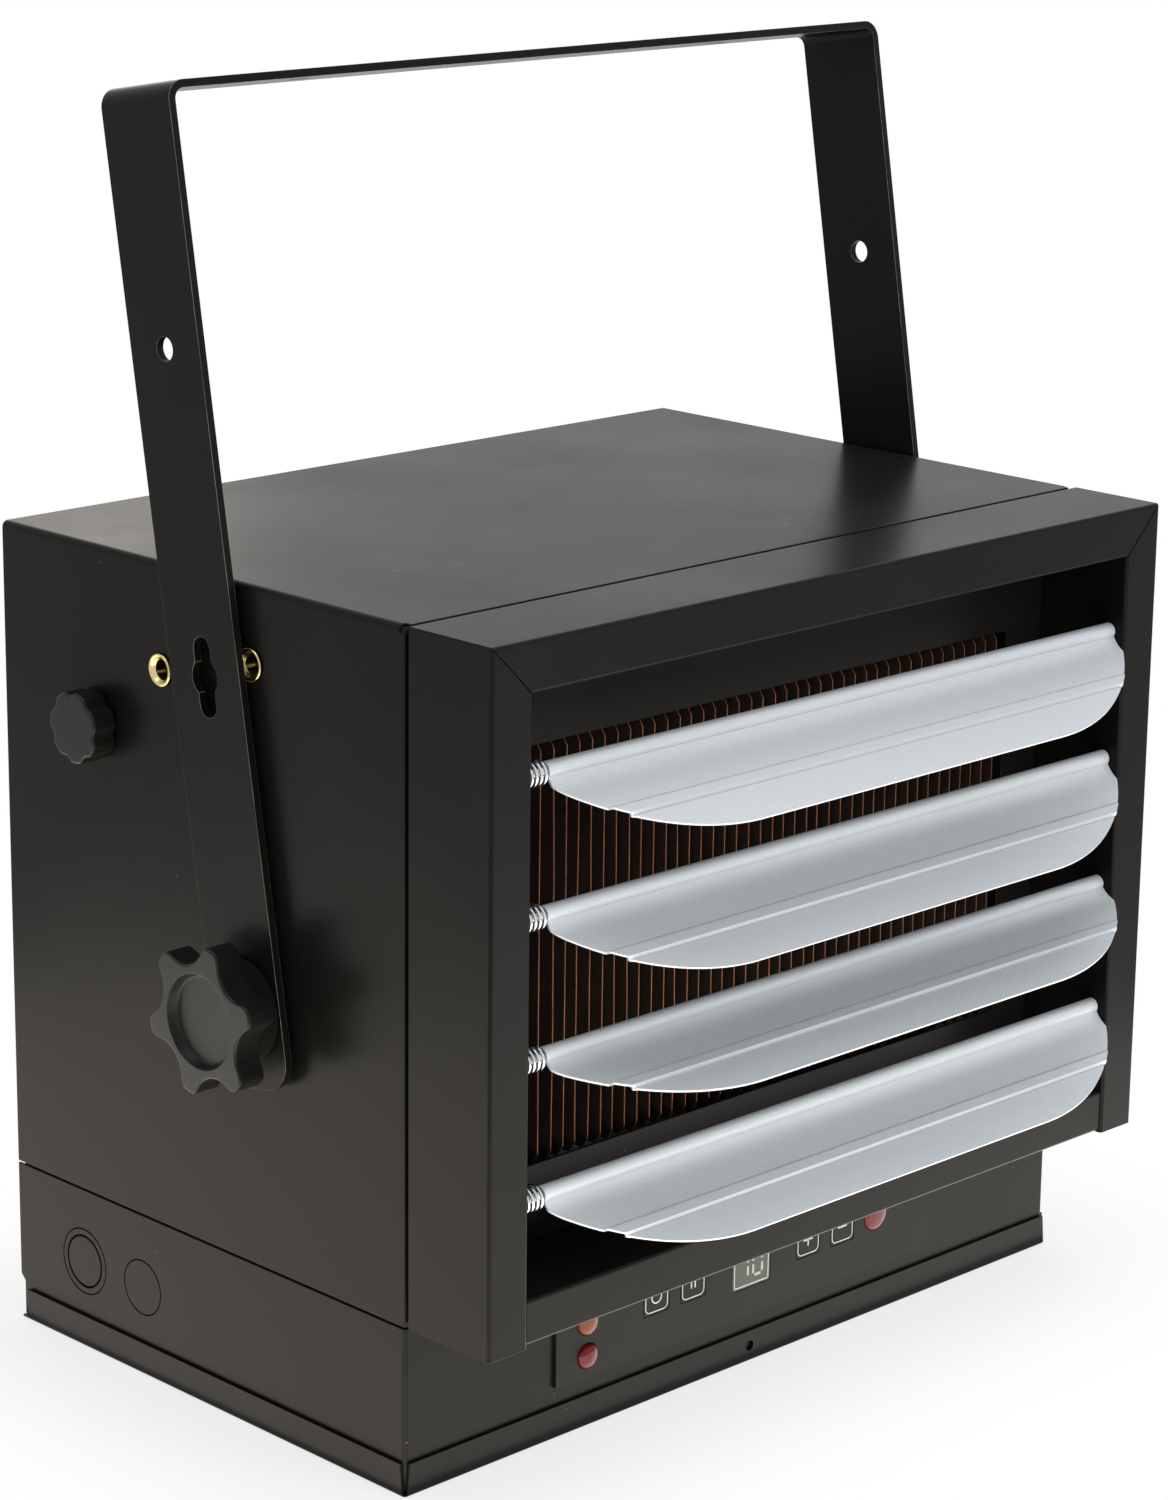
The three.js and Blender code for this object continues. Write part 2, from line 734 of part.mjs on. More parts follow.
// A strap from floor to roof in front of the motor, with a folded tab at each end
function motorMount() {
  const [low, high] = [floorTop + gap, roof - sheet - gap];
  const half = mountWidth / 2;
  const strap = box(-half, half, mountBack - mountSheet, mountBack, low, high);
  const tab = (z) => box(-half, half, mountBack - mountSheet, mountBack + mountTab, z, z + mountSheet);
  return joined([strap, tab(low), tab(high - mountSheet)]);
}

// Wire rings welded on straight spokes, over the intake
const guardSides = 4;

function fanGuard() {
  const spokeY = back + gap + guardWire / 2;
  const ringY = spokeY + guardWire - guardWeld;
  const outer = intakeRadius + guardMargin;
  const ringCount = Math.floor((outer - guardRingStep) / guardRingStep);
  const pieces = [];
  for (let k = 0; k <= ringCount; k += 1) {
    const radius = outer - k * guardRingStep;
    const wire = Array.from({ length: guardSides }, (_, s) => {
      const around = (2 * Math.PI * (s + 0.5)) / guardSides;
      return [radius + (guardWire / 2) * Math.cos(around), ringY + (guardWire / 2) * Math.sin(around)];
    });
    pieces.push(turned('y', [...wire, wire[0]], 0, fanZ, 20));
  }
  for (let k = 0; k < guardSpokes; k += 1) {
    const geometry = new THREE.CylinderGeometry(guardWire / 2, guardWire / 2, 2 * outer, guardSides);
    geometry.rotateX(Math.PI / 2).rotateY((Math.PI * (k + 0.5)) / guardSpokes);
    pieces.push(solid(geometry.translate(0, spokeY, fanZ)));
  }
  return joined(pieces);
}

// ---------------------------------------------------------------- base and pan

function ringCutter(radius) {
  const depth = -side + knockoutGrooveDepth;
  const half = knockoutGroove / 2;
  return [
    [radius - half, depth], [radius + half, depth], [radius + half, -side - past],
    [radius - half, -side - past], [radius - half, depth],
  ];
}

// A square block on the control row, from one depth to another
function squareBlock(x, half, from, to) {
  return box(x - half, x + half, from, to, controlRowHeight - half, controlRowHeight + half);
}

function baseBox() {
  const low = sheet + gap;
  const rear = back - baseRearInset;
  const wallOutline = polygon([
    [baseFront, low], [rear, low], [rear, baseRearCut - baseRearInset], [back, baseRearCut],
    [back, baseTop], [baseFront, baseTop],
  ]);
  const leftWall = pushed('x', wallOutline, -side, -inside);
  const rightWall = pushed('x', wallOutline, inside, side);
  const frontWall = box(-side, side, baseFront, baseFront + sheet, low, baseTop);
  const rearWall = box(-side + sheet / 2, side - sheet / 2, rear - sheet, rear, low, baseTop);
  const rim = pushed('z', rectangle(-side, side, baseFront, rear), baseTop - sheet, baseTop)
    .subtract(box(
      -inside + baseFlange, inside - baseFlange, baseFront + sheet + baseFlange,
      rear - sheet - baseFlange, baseTop - 2 * sheet, baseTop + past,
    ));
  let whole = joined([leftWall, rightWall, frontWall, rearWall, rim]);
  const smallY = knockoutY - knockoutSpacing;
  whole = whole
    .subtract(turned('x', ringCutter(knockoutLargeRadius), knockoutY, knockoutHeight, 24))
    .subtract(turned('x', ringCutter(knockoutInnerRadius), knockoutY, knockoutHeight, 24))
    .subtract(turned('x', ringCutter(knockoutSmallRadius), smallY, knockoutHeight, 24));
  const [cutFront, cutBack] = [baseFront - past, baseFront + sheet + past];
  const stem = keyStem / 2 + gap;
  for (const x of keyOffsets) {
    whole = whole.subtract(squareBlock(x, stem, cutFront, cutBack));
  }
  whole = whole.subtract(squareBlock(0, displaySize / 2 - displayRebate + gap, cutFront, cutBack));
  for (const [x, z, radius] of roundFittings) {
    whole = whole.subtract(bar('y', radius - fittingRebate + gap, cutFront, cutBack, x, z, 16));
  }
  return whole;
}

function bottomPan() {
  const outer = side + gap + sheet;
  const lipFront = baseFront - gap - sheet;
  const lipBack = back - baseRearInset + gap + sheet;
  const floorPlate = box(-outer, outer, lipFront, lipBack, 0, sheet);
  const slant = (from, to) => polygon([
    [from, 0], [to, 0], [to - panLipNotch, panLipHeight], [from + panLipNotch, panLipHeight],
  ]);
  const frontLip = pushed('y', slant(-outer, outer), lipFront, lipFront + sheet);
  const sideLip = polygon([
    [lipFront, 0], [back - panLipRearStop, 0], [back - panLipRearStop, panLipHeight],
    [lipFront + panLipNotch, panLipHeight],
  ]);
  const rearLip = box(-inside + gap, inside - gap, lipBack - sheet, lipBack, 0, panLipHeight);
  const lips = [
    pushed('x', sideLip, -outer, -outer + sheet), pushed('x', sideLip, outer - sheet, outer),
    frontLip, rearLip,
  ];
  const holeEnd = lipFront + sheet + gap / 2;
  const screwHole = bar('y', panScrewHole, lipFront - past, holeEnd, 0, panScrewHeight, 12);
  return joined([floorPlate, ...lips]).subtract(screwHole);
}

// ---------------------------------------------------------------- control panel

function controlOverlay() {
  const plateBack = baseFront - gap;
  const [cutFront, cutBack] = [overlayFront - past, plateBack + past];
  const overlayTop = overlayBottom + overlayHeight;
  let plate = box(-overlayWidth / 2, overlayWidth / 2, overlayFront, plateBack, overlayBottom, overlayTop);
  for (const x of keyOffsets) plate = plate.subtract(squareBlock(x, keySize / 2 + gap, cutFront, cutBack));
  plate = plate.subtract(squareBlock(0, displaySize / 2 + gap, cutFront, cutBack));
  for (const [x, z, radius] of roundFittings) {
    plate = plate.subtract(bar('y', radius + gap, cutFront, cutBack, x, z, 16));
  }
  return plate;
}

// A square cap in the overlay, a stem through the base wall and a collar that keeps it in
function controlKey(x) {
  const collarFront = baseFront + sheet + gap;
  return joined([
    squareBlock(x, keySize / 2, overlayFront, overlayFront + keyThickness),
    squareBlock(x, keyStem / 2, overlayFront + keyThickness / 2, collarFront + keyThickness / 2),
    squareBlock(x, keyCollar / 2, collarFront, collarFront + keyThickness),
  ]);
}

function displayLens() {
  const half = displaySize / 2;
  return squareBlock(0, half, overlayFront, baseFront - gap)
    .add(squareBlock(0, half - displayRebate, overlayFront + sheet / 2, boardFront - gap));
}

// A dome in front, a round body behind: lamps and receiver alike
const domeSteps = 3;

function roundFitting([x, z, radius], dome) {
  const body = radius - fittingRebate;
  const end = baseFront + fittingBody;
  const cap = Array.from({ length: domeSteps + 1 }, (_, k) => {
    const angle = (Math.PI * k) / (2 * domeSteps);
    return [radius * Math.sin(angle), overlayFront - dome * Math.cos(angle)];
  });
  const barrel = [[radius, baseFront - gap], [body, baseFront - gap], [body, end], [0, end]];
  return turned('y', [...cap, ...barrel], x, z);
}

function controlBoard() {
  const low = controlRowHeight - boardHeight / 2;
  const limit = Math.min(low + boardHeight, baseTop - sheet - gap);
  const boardBack = boardFront + boardThickness;
  let board = box(-boardWidth / 2, boardWidth / 2, boardFront, boardBack, low, limit);
  for (const [x, z, radius] of roundFittings) {
    board = board.subtract(bar('y', radius + gap, boardFront - past, boardBack + past, x, z));
  }
  return board;
}

function powerRelay() {
  const [width, depth, height] = relaySize;
  const y = boardFront + boardThickness + gap;
  const x = boardWidth / 4;
  const low = Math.max(sheet + gap, controlRowHeight - boardHeight / 2);
  const high = Math.min(low + height, baseTop - sheet - gap);
  return box(x - width / 2, x + width / 2, y, y + depth, low, high);
}

function terminalBlock() {
  const [width, depth, height] = terminalSize;
  const x0 = -inside + baseFlange + gap;
  const y0 = knockoutY - knockoutSpacing / 2 - width / 2;
  const top = sheet + gap + height;
  let block = box(x0, x0 + depth, y0, y0 + width, sheet + gap, top);
  for (let k = 0; k < terminalPoles; k += 1) {
    const start = y0 + (width * (k + 0.5)) / terminalPoles - terminalSlot / 2;
    block = block.subtract(box(
      x0 - past, x0 + depth + past, start, start + terminalSlot, top - terminalSlotDepth, top + past,
    ));
  }
  return block;
}

// ---------------------------------------------------------------- strap, knobs and nuts

// Drawn upright with the pivot at the origin, then leaned back
function bracketStrap() {
  const inner = strapBendRadius - strapThickness;
  const bend = strapReach - strapBendRadius;
  const corner = strapOuter - strapBendRadius;
  const outline = new THREE.Shape();
  outline.moveTo(-strapInner, -strapTail);
  outline.absarc(-corner, bend, inner, Math.PI, Math.PI / 2, true);
  outline.absarc(corner, bend, inner, Math.PI / 2, 0, true);
  outline.lineTo(strapInner, -strapTail);
  outline.lineTo(strapOuter, -strapTail);
  outline.absarc(corner, bend, strapBendRadius, 0, Math.PI / 2, false);
  outline.absarc(-corner, bend, strapBendRadius, Math.PI / 2, Math.PI, false);
  outline.lineTo(-strapOuter, -strapTail);
  const half = strapWidth / 2;
  const face = new THREE.Shape();
  const reach = strapOuter + past;
  const tailZ = strapTailRadius - strapTail;
  face.moveTo(half, strapReach + past);
  face.lineTo(-half, strapReach + past);
  face.absarc(-half + strapTailRadius, tailZ, strapTailRadius, Math.PI, 1.5 * Math.PI, false);
  face.absarc(half - strapTailRadius, tailZ, strapTailRadius, 1.5 * Math.PI, 2 * Math.PI, false);
  let strap = pushed('y', outline, -half, half, 4).intersect(pushed('x', face, -reach, reach, 4));
  const across = (radius, z) => bar('x', radius, -reach, reach, 0, z, 10);
  const slotMiddle = (slotStart + slotEnd) / 2;
  const cuts = [
    across(strapHoleRadius, 0), across(strapHoleRadius, strapHoleAt),
    joined([
      across(slotHalfWidth, slotStart + slotHalfWidth), across(slotHalfWidth, slotEnd - slotHalfWidth),
      across(slotMouthRadius, slotMiddle),
      box(-reach, reach, -slotHalfWidth, slotHalfWidth, slotStart + slotHalfWidth, slotEnd - slotHalfWidth),
    ]),
    ...[-1, 1].map((hand) => bar(
      'z', strapHoleRadius, strapReach - 2 * strapThickness, strapReach + past, hand * ceilingHoleAt, 0, 10,
    )),
  ];
  for (const cut of cuts) strap = strap.subtract(cut);
  return strap;
}

function strapSpacer() {
  const bore = nutFlangeRadius * pivotNutScale + gap;
  const near = -side - gap;
  const far = -strapInner + gap;
  return turned('x', [[bore, near], [spacerRadius, near], [spacerRadius, far], [bore, far], [bore, near]],
    pivotY, pivotZ, 16);
}

function rivetNut(y, z, scale) {
  const face = -side - gap;
  const flange = nutFlangeRadius * scale;
  const body = nutBodyRadius * scale;
  const bore = nutBoreRadius * scale;
  const end = face + nutLength;
  return turned('x', [
    [bore, face - nutFlangeThickness], [flange, face - nutFlangeThickness], [flange, face], [body, face],
    [body, end], [bore, end], [bore, face - nutFlangeThickness],
  ], y, z, 12);
}

function ring(radiusAt, count, x, y0, z0) {
  return Array.from({ length: count }, (_, k) => {
    const angle = (2 * Math.PI * k) / count;
    const radius = radiusAt(angle);
    return [x, y0 + radius * Math.cos(angle), z0 + radius * Math.sin(angle)];
  });
}

const round = (radius) => () => radius;

// A circle of the tip radius with round bites between the lobes, each down to the valley radius
function lobed(lobes, valley, tip, width, phase, trim) {
  const pitch = (2 * Math.PI) / lobes;
  const half = pitch / 2 - width / (2 * tip);
  const centre = (tip * tip - valley * valley) / (2 * (tip * Math.cos(half) - valley));
  const bite = centre - valley;
  return (angle) => {
    const turns = (angle - radians(phase)) / pitch - 0.5;
    const off = (turns - Math.round(turns)) * pitch;
    if (Math.abs(off) > half) return tip - trim;
    const across = centre * Math.sin(off);
    return centre * Math.cos(off) - Math.sqrt(Math.max(bite * bite - across * across, 0)) - trim;
  };
}

const clampThread = nutBoreRadius * pivotNutScale - gap;

function clampKnob() {
  const out = (distance) => -strapOuter - distance;
  const lobes = (trim) => lobed(clampLobes, clampValley, clampTip, clampLobeWidth, clampPhase, trim);
  const levels = [
    [round(clampBoss), clampClearance], [round(clampBoss), clampBossDepth],
    [lobes(knobChamfer), clampBossDepth], [lobes(0), clampBossDepth + knobChamfer],
    [lobes(0), clampDepth - knobChamfer],
    [lobes(knobChamfer), clampDepth], [round(clampRecess), clampDepth],
    [round(clampRecess), clampDepth - clampRecessDepth],
  ];
  const knob = loft(levels.map(([radiusAt, distance]) => (
    ring(radiusAt, knobSteps, out(distance), pivotY, pivotZ)
  )));
  return knob.subtract(bar('x', clampThread + gap, out(clampInsert), out(0), pivotY, pivotZ, 12));
}

function clampStud() {
  const tip = -side + nutLength + clampStudReach;
  return bar('x', clampThread, -strapOuter - clampInsert + gap, tip, pivotY, pivotZ, 12);
}

// The lock knob is parked in the last lock nut, with its stud moulded in
function lockKnob() {
  const [y, z] = lockPlaces.at(-1);
  const seat = -side - nutFlangeThickness - 2 * gap;
  const out = (distance) => seat - distance;
  const lobes = (trim) => lobed(lockLobes, lockValley, lockTip, lockLobeWidth, lockPhase, trim);
  const levels = [
    [lobes(knobChamfer), 0], [lobes(0), knobChamfer], [lobes(0), lockDepth - knobChamfer],
    [lobes(knobChamfer), lockDepth],
  ];
  const knob = loft(levels.map(([radiusAt, distance]) => ring(radiusAt, knobSteps, out(distance), y, z)));
  const studStart = out(lockDepth / 2);
  return knob.add(bar('x', nutBoreRadius - gap, studStart, -side + nutLength + lockStudReach, y, z, 10));
}

// ---------------------------------------------------------------- assembly

const model = new THREE.Group();

function add(name, body, material, parent = model) {
  const mesh = new THREE.Mesh(surface(body), material);
  mesh.name = name;
  parent.add(mesh);
}

function addPair(name, body, material) {
  add(`${name}_left`, body, material);
  add(`${name}_right`, mirrored(body), material);
}

add('cabinet_shell', cabinetShell(), blackPaint);
add('airway_floor', airwayFloor(), steel);
add('rear_panel', rearPanel(), blackPaint);
add('fan_guard', fanGuard(), zinc);
add('baffle_plate', bafflePlate(), blackPaint);
add('frame_top_rail', frameTopRail(), blackPaint);
addPair('frame_stile', frameStile(), blackPaint);
add('frame_bottom_rail', frameBottomRail(), blackPaint);

for (const [k, angle] of louvreAngles.entries()) {
  const louvre = new THREE.Group();
  louvre.position.set(0, louvreY, louvreZ(k));
  add(`louvre_pin_${k + 1}`, louvrePin(), zinc, louvre);
  add(`louvre_spring_${k + 1}`, louvreSpring(), zinc, louvre);
  const swing = new THREE.Group();
  swing.rotation.x = radians(angle);
  add(`louvre_blade_${k + 1}`, louvreBlade(), greyPaint, swing);
  louvre.add(swing);
  model.add(louvre);
}

add('finned_element', finnedElement(), copper);
addPair('element_bracket', mirrored(elementBracket()), steel);
add('limit_thermostat', limitThermostat(), housingPlastic);
add('fan_motor', fanMotor(), steel);
add('motor_mount', motorMount(), blackPaint);
add('motor_shaft', motorShaft(), zinc);
add('fan_blade', fanBlade(), greyPaint);

add('base_box', baseBox(), blackPaint);
add('bottom_pan', bottomPan(), blackPaint);
add('control_overlay', controlOverlay(), overlayFilm);
['key_power', 'key_mode', 'key_plus', 'key_minus'].forEach((name, k) => {
  add(name, controlKey(keyOffsets[k]), overlayFilm);
});
add('display_lens', displayLens(), displayGlass);
add('power_lamp', roundFitting(roundFittings[0], lampDome), redLens);
add('heat_lamp', roundFitting(roundFittings[1], lampDome), amberLens);
add('remote_receiver', roundFitting(roundFittings[2], receiverDome), redLens);
add('control_board', controlBoard(), boardGreen);
add('power_relay', powerRelay(), housingPlastic);
add('terminal_block', terminalBlock(), housingPlastic);

const hanger = new THREE.Group();
hanger.position.set(0, pivotY, pivotZ);
hanger.rotation.x = -radians(strapLean);
add('bracket_strap', bracketStrap(), blackPaint, hanger);
model.add(hanger);
addPair('strap_spacer', strapSpacer(), darkRubber);
['first', 'second', 'third'].forEach((name, k) => {
  addPair(`rivet_nut_${name}`, rivetNut(...lockPlaces[k], 1), yellowZinc);
});
addPair('rivet_nut_pivot', rivetNut(pivotY, pivotZ, pivotNutScale), yellowZinc);
addPair('clamp_knob', clampKnob(), knobPlastic);
addPair('clamp_stud', clampStud(), zinc);
addPair('lock_knob', lockKnob(), knobPlastic);

console.log(`least gap between the turns of a louvre spring: ${springGap().toFixed(2)} mm`);

export default model;
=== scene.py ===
"""Ceiling mounted fan heater: the finished surfaces of its sheet metal, louvres, knobs and controls.

Metres, +Z up, the louvres face -Y. Places are read from the frame of the same object where it has them.
"""

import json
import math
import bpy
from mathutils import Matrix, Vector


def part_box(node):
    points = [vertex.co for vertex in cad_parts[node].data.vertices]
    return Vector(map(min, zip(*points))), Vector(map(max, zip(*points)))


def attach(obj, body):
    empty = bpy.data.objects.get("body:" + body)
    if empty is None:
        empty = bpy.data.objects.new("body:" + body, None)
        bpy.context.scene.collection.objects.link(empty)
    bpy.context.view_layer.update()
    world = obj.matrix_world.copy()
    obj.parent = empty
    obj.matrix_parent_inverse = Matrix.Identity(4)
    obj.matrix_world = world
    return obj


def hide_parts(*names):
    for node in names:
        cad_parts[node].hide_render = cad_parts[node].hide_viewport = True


bl_info = {
    "name": "Ceiling fan heater",
    "version": (1, 0, 0),
    "blender": (4, 5, 0),
    "location": "3D View > Sidebar > Heater",
    "description": "Builds the visible surfaces of a ceiling mounted fan heater around its frame",
    "category": "Add Mesh",
}

import bmesh
import bpy
import numpy as np
from bpy.props import FloatProperty, FloatVectorProperty, IntProperty, PointerProperty
from bpy.types import Operator, Panel, PropertyGroup
from mathutils import Matrix, Vector
from mathutils.geometry import delaunay_2d_cdt

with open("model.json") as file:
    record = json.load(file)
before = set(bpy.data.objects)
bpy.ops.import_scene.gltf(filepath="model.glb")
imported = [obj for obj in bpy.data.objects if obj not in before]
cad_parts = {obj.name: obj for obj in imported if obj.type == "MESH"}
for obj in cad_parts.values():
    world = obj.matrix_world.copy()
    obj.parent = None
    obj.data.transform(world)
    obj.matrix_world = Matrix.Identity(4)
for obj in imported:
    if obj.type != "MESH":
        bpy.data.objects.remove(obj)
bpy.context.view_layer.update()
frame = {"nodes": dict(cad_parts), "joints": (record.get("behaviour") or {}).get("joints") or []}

# ---------------------------------------------------------------- places read from the frame


def span(node, axis):
    """The lowest and the highest place of a node along x, y or z."""
    low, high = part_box(node)
    return low["xyz".index(axis)], high["xyz".index(axis)]


def half_span(node, axis):
    """Half of a node's extent along x, y or z."""
    low, high = span(node, axis)
    return (high - low) / 2


def middle(node):
    """The middle of a node's box."""
    low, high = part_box(node)
    return (low + high) / 2


def joint(name):
    """The joint of that name."""
    return next(found for found in frame["joints"] if found["name"] == name)


SHEET = 0.0012  # steel of the cabinet, the louvre frame and the base
GAP = 0.0003  # between pieces that fit into each other
SIDE = span("cabinet_shell", "x")[1]
SHELL_FRONT, BACK = span("cabinet_shell", "y")
FLOOR, ROOF = span("cabinet_shell", "z")
FRAME_FRONT, FRAME_BACK = span("frame_top_rail", "y")
RAIL_LOWER = span("frame_top_rail", "z")[0]
STILE_INNER = span("frame_stile_right", "x")[0]
PIVOT = Vector(joint("bracket_tilt")["pos_m"])
FAN = Vector(joint("fan_spin")["pos_m"])
LOCKS = [middle(f"rivet_nut_{name}_left") for name in ("first", "second", "third")]
HANDS = {"left": -1, "right": 1}
LOUVRES = (1, 2, 3, 4)
MITRE = (SIDE - STILE_INNER) / (ROOF - RAIL_LOWER)  # slope of the joint at the frame's upper corners

# ---------------------------------------------------------------- sizes that a user can change


def metres(name, description, default):
    """A length, in metres."""
    return FloatProperty(name=name, description=description, unit="LENGTH", default=default)


def degrees(name, description, default):
    """An angle, whose default is given in degrees."""
    return FloatProperty(name=name, description=description, unit="ROTATION", default=math.radians(default))


# ---------------------------------------------------------------- shapes


class Shape:
    """Points, faces grouped by their number of corners, a mark for each group, and flat places."""

    def __init__(self, points, groups, flat=None, marks=None):
        self.points = np.asarray(points, float).reshape(-1, 3)
        self.groups = [np.asarray(group, int) for group in groups if len(group)]
        self.flat = np.zeros((len(self.points), 2)) if flat is None else flat
        self.marks = [0] * len(self.groups) if marks is None else marks

    def moved(self, change):
        """The same shape with its points changed by a function of x, y and z."""
        x, y, z = change(*self.points.T)
        return Shape(np.column_stack(np.broadcast_arrays(x, y, z)), self.groups, self.flat, self.marks)

    def flipped(self):
        """The same shape with its faces turned round."""
        return Shape(self.points, [group[:, ::-1] for group in self.groups], self.flat, self.marks)

    def outward(self):
        """A closed shape with its faces pointing out.

        The signed volume of the fans from each face's first corner is made positive.
        """
        volume = 0.0
        for group in self.groups:
            first = self.points[group[:, 0]]
            for k in range(1, group.shape[1] - 1):
                across = np.cross(self.points[group[:, k]], self.points[group[:, k + 1]])
                volume += np.einsum("ij,ij", first, across)
        return self.flipped() if volume < 0 else self

    def away_from(self, inner):
        """An open sheet with its faces turned away from an inner point, judged by their areas."""
        total = 0.0
        for group in self.groups:
            a, b, c = (self.points[group[:, k]] for k in range(3))
            total += np.einsum("ij,ij", np.cross(b - a, c - a), a - np.asarray(inner, float))
        return self.flipped() if total < 0 else self


def joined(*shapes):
    """Several shapes as one: the corners of each count on from the points of those before it."""
    starts = np.cumsum([0] + [len(shape.points) for shape in shapes[:-1]])
    return Shape(
        np.vstack([shape.points for shape in shapes]),
        [group + start for shape, start in zip(shapes, starts) for group in shape.groups],
        np.vstack([shape.flat for shape in shapes]),
        [mark for shape in shapes for mark in shape.marks],
    )


def mirrored(shape):
    """The same shape on the other side of the plane x = 0, with its faces turned back round."""
    return shape.moved(lambda x, y, z: (-x, y, z)).flipped()


def grid_faces(rows, columns, wrap=False):
    """Quads of a grid of points counted row by row.

    Each quad joins a point, the next in its row and the two in the next row.
    """
    row = np.arange(rows - 1)[:, None] * columns
    column = np.arange(columns if wrap else columns - 1)[None, :]
    following = (column + 1) % columns
    quads = [row + column, row + following, row + columns + following, row + columns + column]
    return np.stack(quads, axis=-1).reshape(-1, 4)


def skin(rings, caps=True):
    """A closed skin through rings of equally many points, with a flat cap at each end."""
    rings = np.asarray(rings, float)
    rows, columns = rings.shape[:2]
    groups = [grid_faces(rows, columns, wrap=True)]
    if caps:
        ids = np.arange(columns)[None, :]
        groups += [ids[:, ::-1], ids + (rows - 1) * columns]
    return Shape(rings.reshape(-1, 3), groups).outward()


AXES = {"x": (0, 1, 2), "y": (1, 0, 2), "z": (2, 0, 1)}


def turned(profile, centre, axis, steps=64, closed=False):
    """A profile of radius and height spun about an axis.

    A point lies at centre + height along the axis + radius times (cos t, sin t) across it.
    """
    profile = np.asarray(profile, float)
    if closed:
        profile = np.vstack([profile, profile[:1]])
    angle = np.linspace(0, 2 * np.pi, steps, endpoint=False)
    along, first, second = AXES[axis]
    points = np.zeros((len(profile), steps, 3))
    points[..., along] = profile[:, 1, None]
    points[..., first] = profile[:, 0, None] * np.cos(angle)
    points[..., second] = profile[:, 0, None] * np.sin(angle)
    return Shape((points + np.asarray(centre, float)).reshape(-1, 3), [grid_faces(len(profile), steps, True)])


def tube(path, radius, normals, sides=12, closed=False):
    """A round wire along a path: each point carries a ring, radius times (cos t normal + sin t binormal)."""
    path = np.asarray(path, float)
    normals = np.broadcast_to(np.asarray(normals, float), path.shape)
    if closed:
        tangents = np.roll(path, -1, axis=0) - np.roll(path, 1, axis=0)
    else:
        tangents = np.gradient(path, axis=0)
    tangents = tangents / np.linalg.norm(tangents, axis=1)[:, None]
    normals = normals - np.einsum("ij,ij->i", normals, tangents)[:, None] * tangents
    normals = normals / np.linalg.norm(normals, axis=1)[:, None]
    binormals = np.cross(tangents, normals)
    angle = np.linspace(0, 2 * np.pi, sides, endpoint=False)[None, :, None]
    rings = path[:, None] + radius * (np.cos(angle) * normals[:, None] + np.sin(angle) * binormals[:, None])
    if closed:
        return skin(np.concatenate([rings, rings[:1]]), caps=False)
    return skin(rings)


def rounded_path(corners, radius, steps=6):
    """A line through corners in a plane, each inner corner turned by an arc of one radius.

    Gives the distance along the line and the points. An arc starts radius times the tangent of half the turn
    before its corner, and its points are the start turned about the arc's centre.
    """
    corners = np.asarray(corners, float)
    ahead = np.diff(corners, axis=0)
    ahead /= np.linalg.norm(ahead, axis=1)[:, None]
    points = [corners[:1]]
    for before, after, corner in zip(ahead[:-1], ahead[1:], corners[1:-1]):
        turn = math.atan2(before[0] * after[1] - before[1] * after[0], before @ after)
        start = corner - before * radius * math.tan(abs(turn) / 2)
        arm = -np.sign(turn) * radius * np.array([-before[1], before[0]])
        angle = np.linspace(0, turn, steps + 1)[:, None]
        across = np.array([-arm[1], arm[0]])
        points.append(start - arm + np.cos(angle) * arm + np.sin(angle) * across)
    points.append(corners[-1:])
    points = np.vstack(points)
    distance = np.concatenate([[0], np.cumsum(np.linalg.norm(np.diff(points, axis=0), axis=1))])
    return distance, points


HOLE_STEPS = 10


def blank(s_lines, w_lines, holes=(), left_out=None):
    """A flat sheet over a grid of lines, with holes.

    Its cells are quads. The cell round a hole is four faces, each from one of its corners to the next and
    back along a quarter of the hole's outline, which starts towards that corner. A hole is its two
    coordinates and a radius, or a function that gives the radius at an angle. left_out picks cells by
    their middles.
    """
    s_lines, w_lines = (np.unique(np.round(lines, 7)) for lines in (s_lines, w_lines))
    rows, columns = len(s_lines), len(w_lines)
    flat = np.stack(np.meshgrid(s_lines, w_lines, indexing="ij"), axis=-1).reshape(-1, 2)
    quads = grid_faces(rows, columns).reshape(rows - 1, columns - 1, 4)
    kept = np.ones((rows - 1, columns - 1), bool)
    if left_out:
        s_middle, w_middle = ((lines[1:] + lines[:-1]) / 2 for lines in (s_lines, w_lines))
        kept = ~left_out(s_middle[:, None], w_middle[None, :])
    groups = []
    count = len(flat)
    loops = []
    for s, w, radius in holes:
        cell = np.searchsorted(s_lines, s) - 1, np.searchsorted(w_lines, w) - 1
        kept[cell] = False
        corners = quads[cell]
        reach = flat[corners] - (s, w)
        angles = np.unwrap(np.arctan2(reach[:, 1], reach[:, 0]))
        ends = np.append(angles, angles[0] + 2 * np.pi * np.sign(angles[1] - angles[0]))
        quarters = [np.linspace(a, b, HOLE_STEPS, endpoint=False) for a, b in zip(ends[:-1], ends[1:])]
        around = np.concatenate(quarters)
        length = radius(around) if callable(radius) else radius
        loops.append(np.column_stack([s + length * np.cos(around), w + length * np.sin(around)]))
        for k in range(4):
            back = np.arange((k + 1) * HOLE_STEPS, k * HOLE_STEPS - 1, -1) % len(around)
            groups.append(np.concatenate([[corners[k], corners[(k + 1) % 4]], count + back])[None, :])
        count += len(around)
    return np.vstack([flat, *loops]), [quads[kept], *groups]


